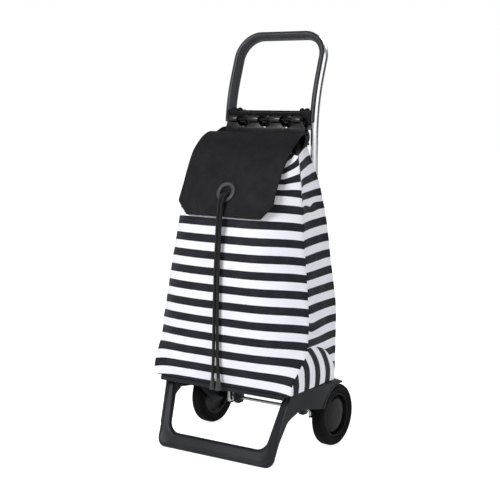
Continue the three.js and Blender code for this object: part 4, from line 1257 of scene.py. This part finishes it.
def make_hem():
    lumpy = [point + Vector((0, 0, 0.0005 * math.sin(k * 1.45))) for k, point in enumerate(hem_line(200))]
    roll, _ = tube_piece("hem", lumpy, HEM_R, BLACK_CLOTH, 16)
    settle(roll, "bag", "black_fabric", "collar_hem")


def make_back_strip():
    """The back panel's plain top, sewn round the hanger's skirt."""
    low_z, high_z = BACK_STRIP_Z

    def place(u, v):
        half = 0.1085 + 0.004 * (1 - v) ** 2
        y = BACK_Y - 0.0005 + (-0.0225 - BACK_Y) * blend_in(0.0, 1.0, v)
        y += 0.0006 * waves(u * 6, v, 0, 3.0)
        return Vector(((1 - 2 * u) * half, y, low_z + (high_z - low_z) * v))

    strip = cloth_sheet("back_strip", place, 40, 8, 0.0012, BLACK_CLOTH, (0.216, 0.028))
    settle(strip, "bag", "black_fabric")


def make_shade_strip():
    """A black strip on the bag's front, from its top edge down past the grommet: painted shade, a dark sheet
    where the grommet's hole shows only shadow.
    """
    high_z, low_z = SHADE_STRIP_Z

    def place(u, v):
        z = high_z - (high_z - low_z) * v
        x, y, _ = front_point((0.5 - u) * SHADE_STRIP_WIDE / bag_at(z)[0], z)
        swell = 0.0016 * math.sin(math.pi * u) ** 0.5
        return Vector((x, y - 0.0014 - swell, z))

    shade_sheet = cloth_sheet("shade_strip", place, 16, 40, 0.0010, BLACK_CLOTH, (SHADE_STRIP_WIDE, 0.12))
    settle(shade_sheet, "bag", "black_fabric")


def make_ear(side, hand):
    """Black cloth that closes the side between the hanger's end and the bag's top edge."""
    columns, rows = 24, 16
    tops = evenly(through([(side * x, y, z) for x, y, z in EAR_TOP], 6), columns)
    lows = evenly(through([rim_point("side", side, t) for t in (1.0, 0.82, 0.62, 0.42)], 6), columns)

    def place(u, v):
        k = round(u * columns)
        point = lows[k].lerp(tops[k], v)
        bulge = math.sin(math.pi * v) ** 0.8 * math.sin(math.pi * (0.12 + 0.88 * (1 - u))) ** 0.7
        point.x += side * (EAR_BULGE[hand] * bulge + 0.0012 * math.sin(9 * u + 5 * v))
        point.y += 0.0025 * bulge
        return point

    ear = cloth_sheet(f"{hand}_ear", place, columns, rows, 0.0011, BLACK_CLOTH, (0.05, 0.04))
    settle(ear, "bag", "black_fabric")


# ------------------------------------------------------------------ flap, its stitching and the grommet
flap_at = smooth_values([
    (0.0, -0.0415, 0.7030), (1 / 7, -0.067, 0.703), (2 / 7, -0.094, 0.691), (3 / 7, -0.124, 0.665),
    (4 / 7, -0.148, 0.632), (5 / 7, -0.171, 0.592), (6 / 7, -0.188, 0.556), (1.0, -0.197, 0.526),
])
FLAP_HALF = [(0.0, 0.126), (0.14, 0.128), (0.29, 0.1295), (0.43, 0.1295), (0.57, 0.127), (0.72, 0.125),
             (0.862, 0.126), (1.0, 0.0985)]
GROMMET_V, GROMMET_HOLE, GROMMET_GAP = 0.767, 0.0168, 0.00035
FLAP_THICK, FLAP_LENGTH = 0.0022, 0.252
HINGE_BAND = 0.09             # share of the cloth that is the band behind the flap's rear edge
SEAM_IN, SEAM_IN_V, SEAM_FROM_V = 0.0065, 0.024, 0.07


def flap_half(v):
    return float(np.interp(v, *zip(*FLAP_HALF)))


def flap_place(across, v):
    """A point on the flap's outer face, across from -1 to 1; v under 0 is on the band behind it."""
    if v < 0:
        return Vector((across * (0.108 + 0.018 * (1 + v)), -0.0415 + 0.013 * -v, 0.7030 - 0.002 * -v))
    y, z = flap_at(v)
    x = across * flap_half(v)
    below = (v - GROMMET_V) * FLAP_LENGTH
    away = math.hypot(x, below)
    # soft draws run from the grommet to the corners, and the loose lower edge rolls a little
    low = blend_in(0.45, 1.0, v)
    wave = 0.0022 * low * math.cos(3.2 * across + 0.6) * (abs(across) ** 0.6)
    wave += 0.0016 * blend_in(0.1, 0.5, v) * waves(x, v * 0.25, 0, 14.0, 9.0)
    fold = math.sin(5.0 * math.atan2(x, below + 1e-9) + 0.7)
    wave += 0.0014 * fold * math.exp(-((away - 0.055) / 0.035) ** 2) * low
    # upright creases where a hand pulls the flap down, on its left
    upright = blend_in(0.15, 0.5, -across) * (1 - blend_in(0.9, 1.0, -across))
    wave += 0.0009 * low * upright * math.sin(30 * across + 5 * v)
    wave *= blend_in(0.022, 0.040, away)
    curl = -0.002 * blend_in(0.93, 1.0, abs(across)) * blend_in(0.1, 0.3, v)
    return Vector((x, y - wave - curl, z + 0.25 * wave))


def grommet_axis():
    """Where the grommet sits and which way is out of the flap."""
    (y0, z0), (y1, z1) = flap_at(GROMMET_V - 0.02), flap_at(GROMMET_V + 0.02)
    down = Vector((0, y1 - y0, z1 - z0)).normalized()
    return Vector((0, *flap_at(GROMMET_V))), Vector((-1, 0, 0)).cross(down)


def make_flap():
    def place(u, v):
        along = v - HINGE_BAND
        return flap_place(1 - 2 * u, along / (HINGE_BAND if along < 0 else 1 - HINGE_BAND))

    flap = cloth_sheet("flap_cloth", place, 84, 100, FLAP_THICK, FLAP_CLOTH, (0.256, 0.265))
    punch = [(0, -0.02), (GROMMET_HOLE, -0.02), (GROMMET_HOLE, 0.02), (0, 0.02)]
    cut(flap, [lathe("hole", punch, *grommet_axis(), FITTING, 64)])
    smooth(flap.data, 60)
    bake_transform(flap)
    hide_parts("flap", "hanger_band")
    return flap


def make_stitches(name, line, outs, length=0.0030, gap=0.0014, radius=0.00035):
    """A row of short raised threads along a line, as one piece."""
    points, faces = [], []
    count = max(2, int(lengths_along(line)[-1] / (length + gap)))
    even = evenly(line, count * 2)
    sides, rings = 6, 5
    for k in range(count):
        a, b = even[2 * k], even[2 * k + 1]
        out = outs[min(len(outs) - 1, round(2 * k * (len(outs) - 1) / (count * 2)))]
        along = (b - a).normalized()
        across = along.cross(out).normalized()
        first = len(points)
        for r in range(rings):
            share = -1 + 2 * r / (rings - 1)
            girth = radius * math.sqrt(max(0.04, 1 - share * share * 0.96))
            lift = radius * 1.1 * (1 - share * share) - radius * 0.35
            centre = (a + b) / 2 + along * (length / 2 * share) + out * lift
            points += [centre + across * c + out * s for c, s in circle((0, 0), girth, sides)]
        faces += [tuple(first + i for i in f) for f in grid_faces(sides, rings - 1, wrap_columns=True)]
        last = first + (rings - 1) * sides
        faces += [tuple(range(first, first + sides))[::-1], tuple(range(last, last + sides))]
    settle(face_outwards(new_piece(name, points, faces, THREAD)), "flap", "black_fabric")


def make_flap_stitching():
    """One seam down the right, along the lower edge and up the left, inside the flap's border."""
    sides = []
    for k in range(61):
        v = SEAM_FROM_V + (1 - SEAM_IN_V - SEAM_FROM_V) * k / 60
        sides.append((v, flap_half(v) - (SEAM_IN if v < 0.86 else SEAM_IN * 1.1)))
    corner = sides[-1][1]
    seam = [(v, -x) for v, x in sides]
    seam += [(1 - SEAM_IN_V, x) for x in np.linspace(-corner, corner, 40)[1:-1]]
    seam += sides[::-1]
    points, outs = [], []
    for v, x in seam:
        across = x / flap_half(v)
        sideways = flap_place(across + 0.02, v) - flap_place(across - 0.02, v)
        downwards = flap_place(across, min(v + 0.01, 1)) - flap_place(across, v - 0.01)
        out = downwards.cross(sideways).normalized()
        out = out if out.y < 0 or out.z > 0.5 else -out
        points.append(flap_place(across, v) + out * 0.0001)
        outs.append(out)
    make_stitches("flap_stitching", points, outs)


def make_grommet():
    gap = GROMMET_GAP
    back = -FLAP_THICK - 0.0003 - 0.0011 - 0.0015
    ring = [(0.0140, back), (0.0165, back), (0.0165, gap), (0.0235, gap), (0.0233, gap + 0.0014),
            (0.0222, gap + 0.0026), (0.0205, gap + 0.0031), (0.0188, gap + 0.0030), (0.0180, gap + 0.0023),
            (0.0170, gap + 0.0022), (0.0160, gap + 0.0028), (0.0148, gap + 0.0020), (0.0140, gap + 0.0004)]
    washer = rectangle(0.01685, 0.0215, back, back + 0.0015)
    for end, profile, radius, node in (("front", ring, 0.0006, "ring"), ("back", washer, 0.0004, "washer")):
        piece = lathe(f"grommet_{end}", rounded(profile, radius, 3), *grommet_axis(), GREY, 96, 40)
        settle(piece, "flap", "grey_plastic", f"grommet_{node}")


make_bag_floor()
make_collar()
make_hem()
make_back_strip()
# the dark strip behind the grommet is painted shade, not a real part
make_shade_strip()
for side, hand in SIDES:
    make_ear(side, hand)
FLAP = make_flap()
make_flap_stitching()
make_grommet()


# ------------------------------------------------------------------ fittings that keep their CAD shape
def finish_nodes():
    """The first word of this list that is in a node's name tells its material."""
    looks = {"sleeve": FITTING, "screw": STEEL, "axle": STEEL, "rod": FITTING, "ring": STEEL,
             "washer": STEEL, "bush": NYLON}
    for name, node in NODES.items():
        if not node.hide_render:
            found = [look for word, look in looks.items() if word in name]
            node.data.materials.clear()
            node.data.materials.append(found[0] if found else FITTING)
            smooth(node.data, 35)


finish_nodes()
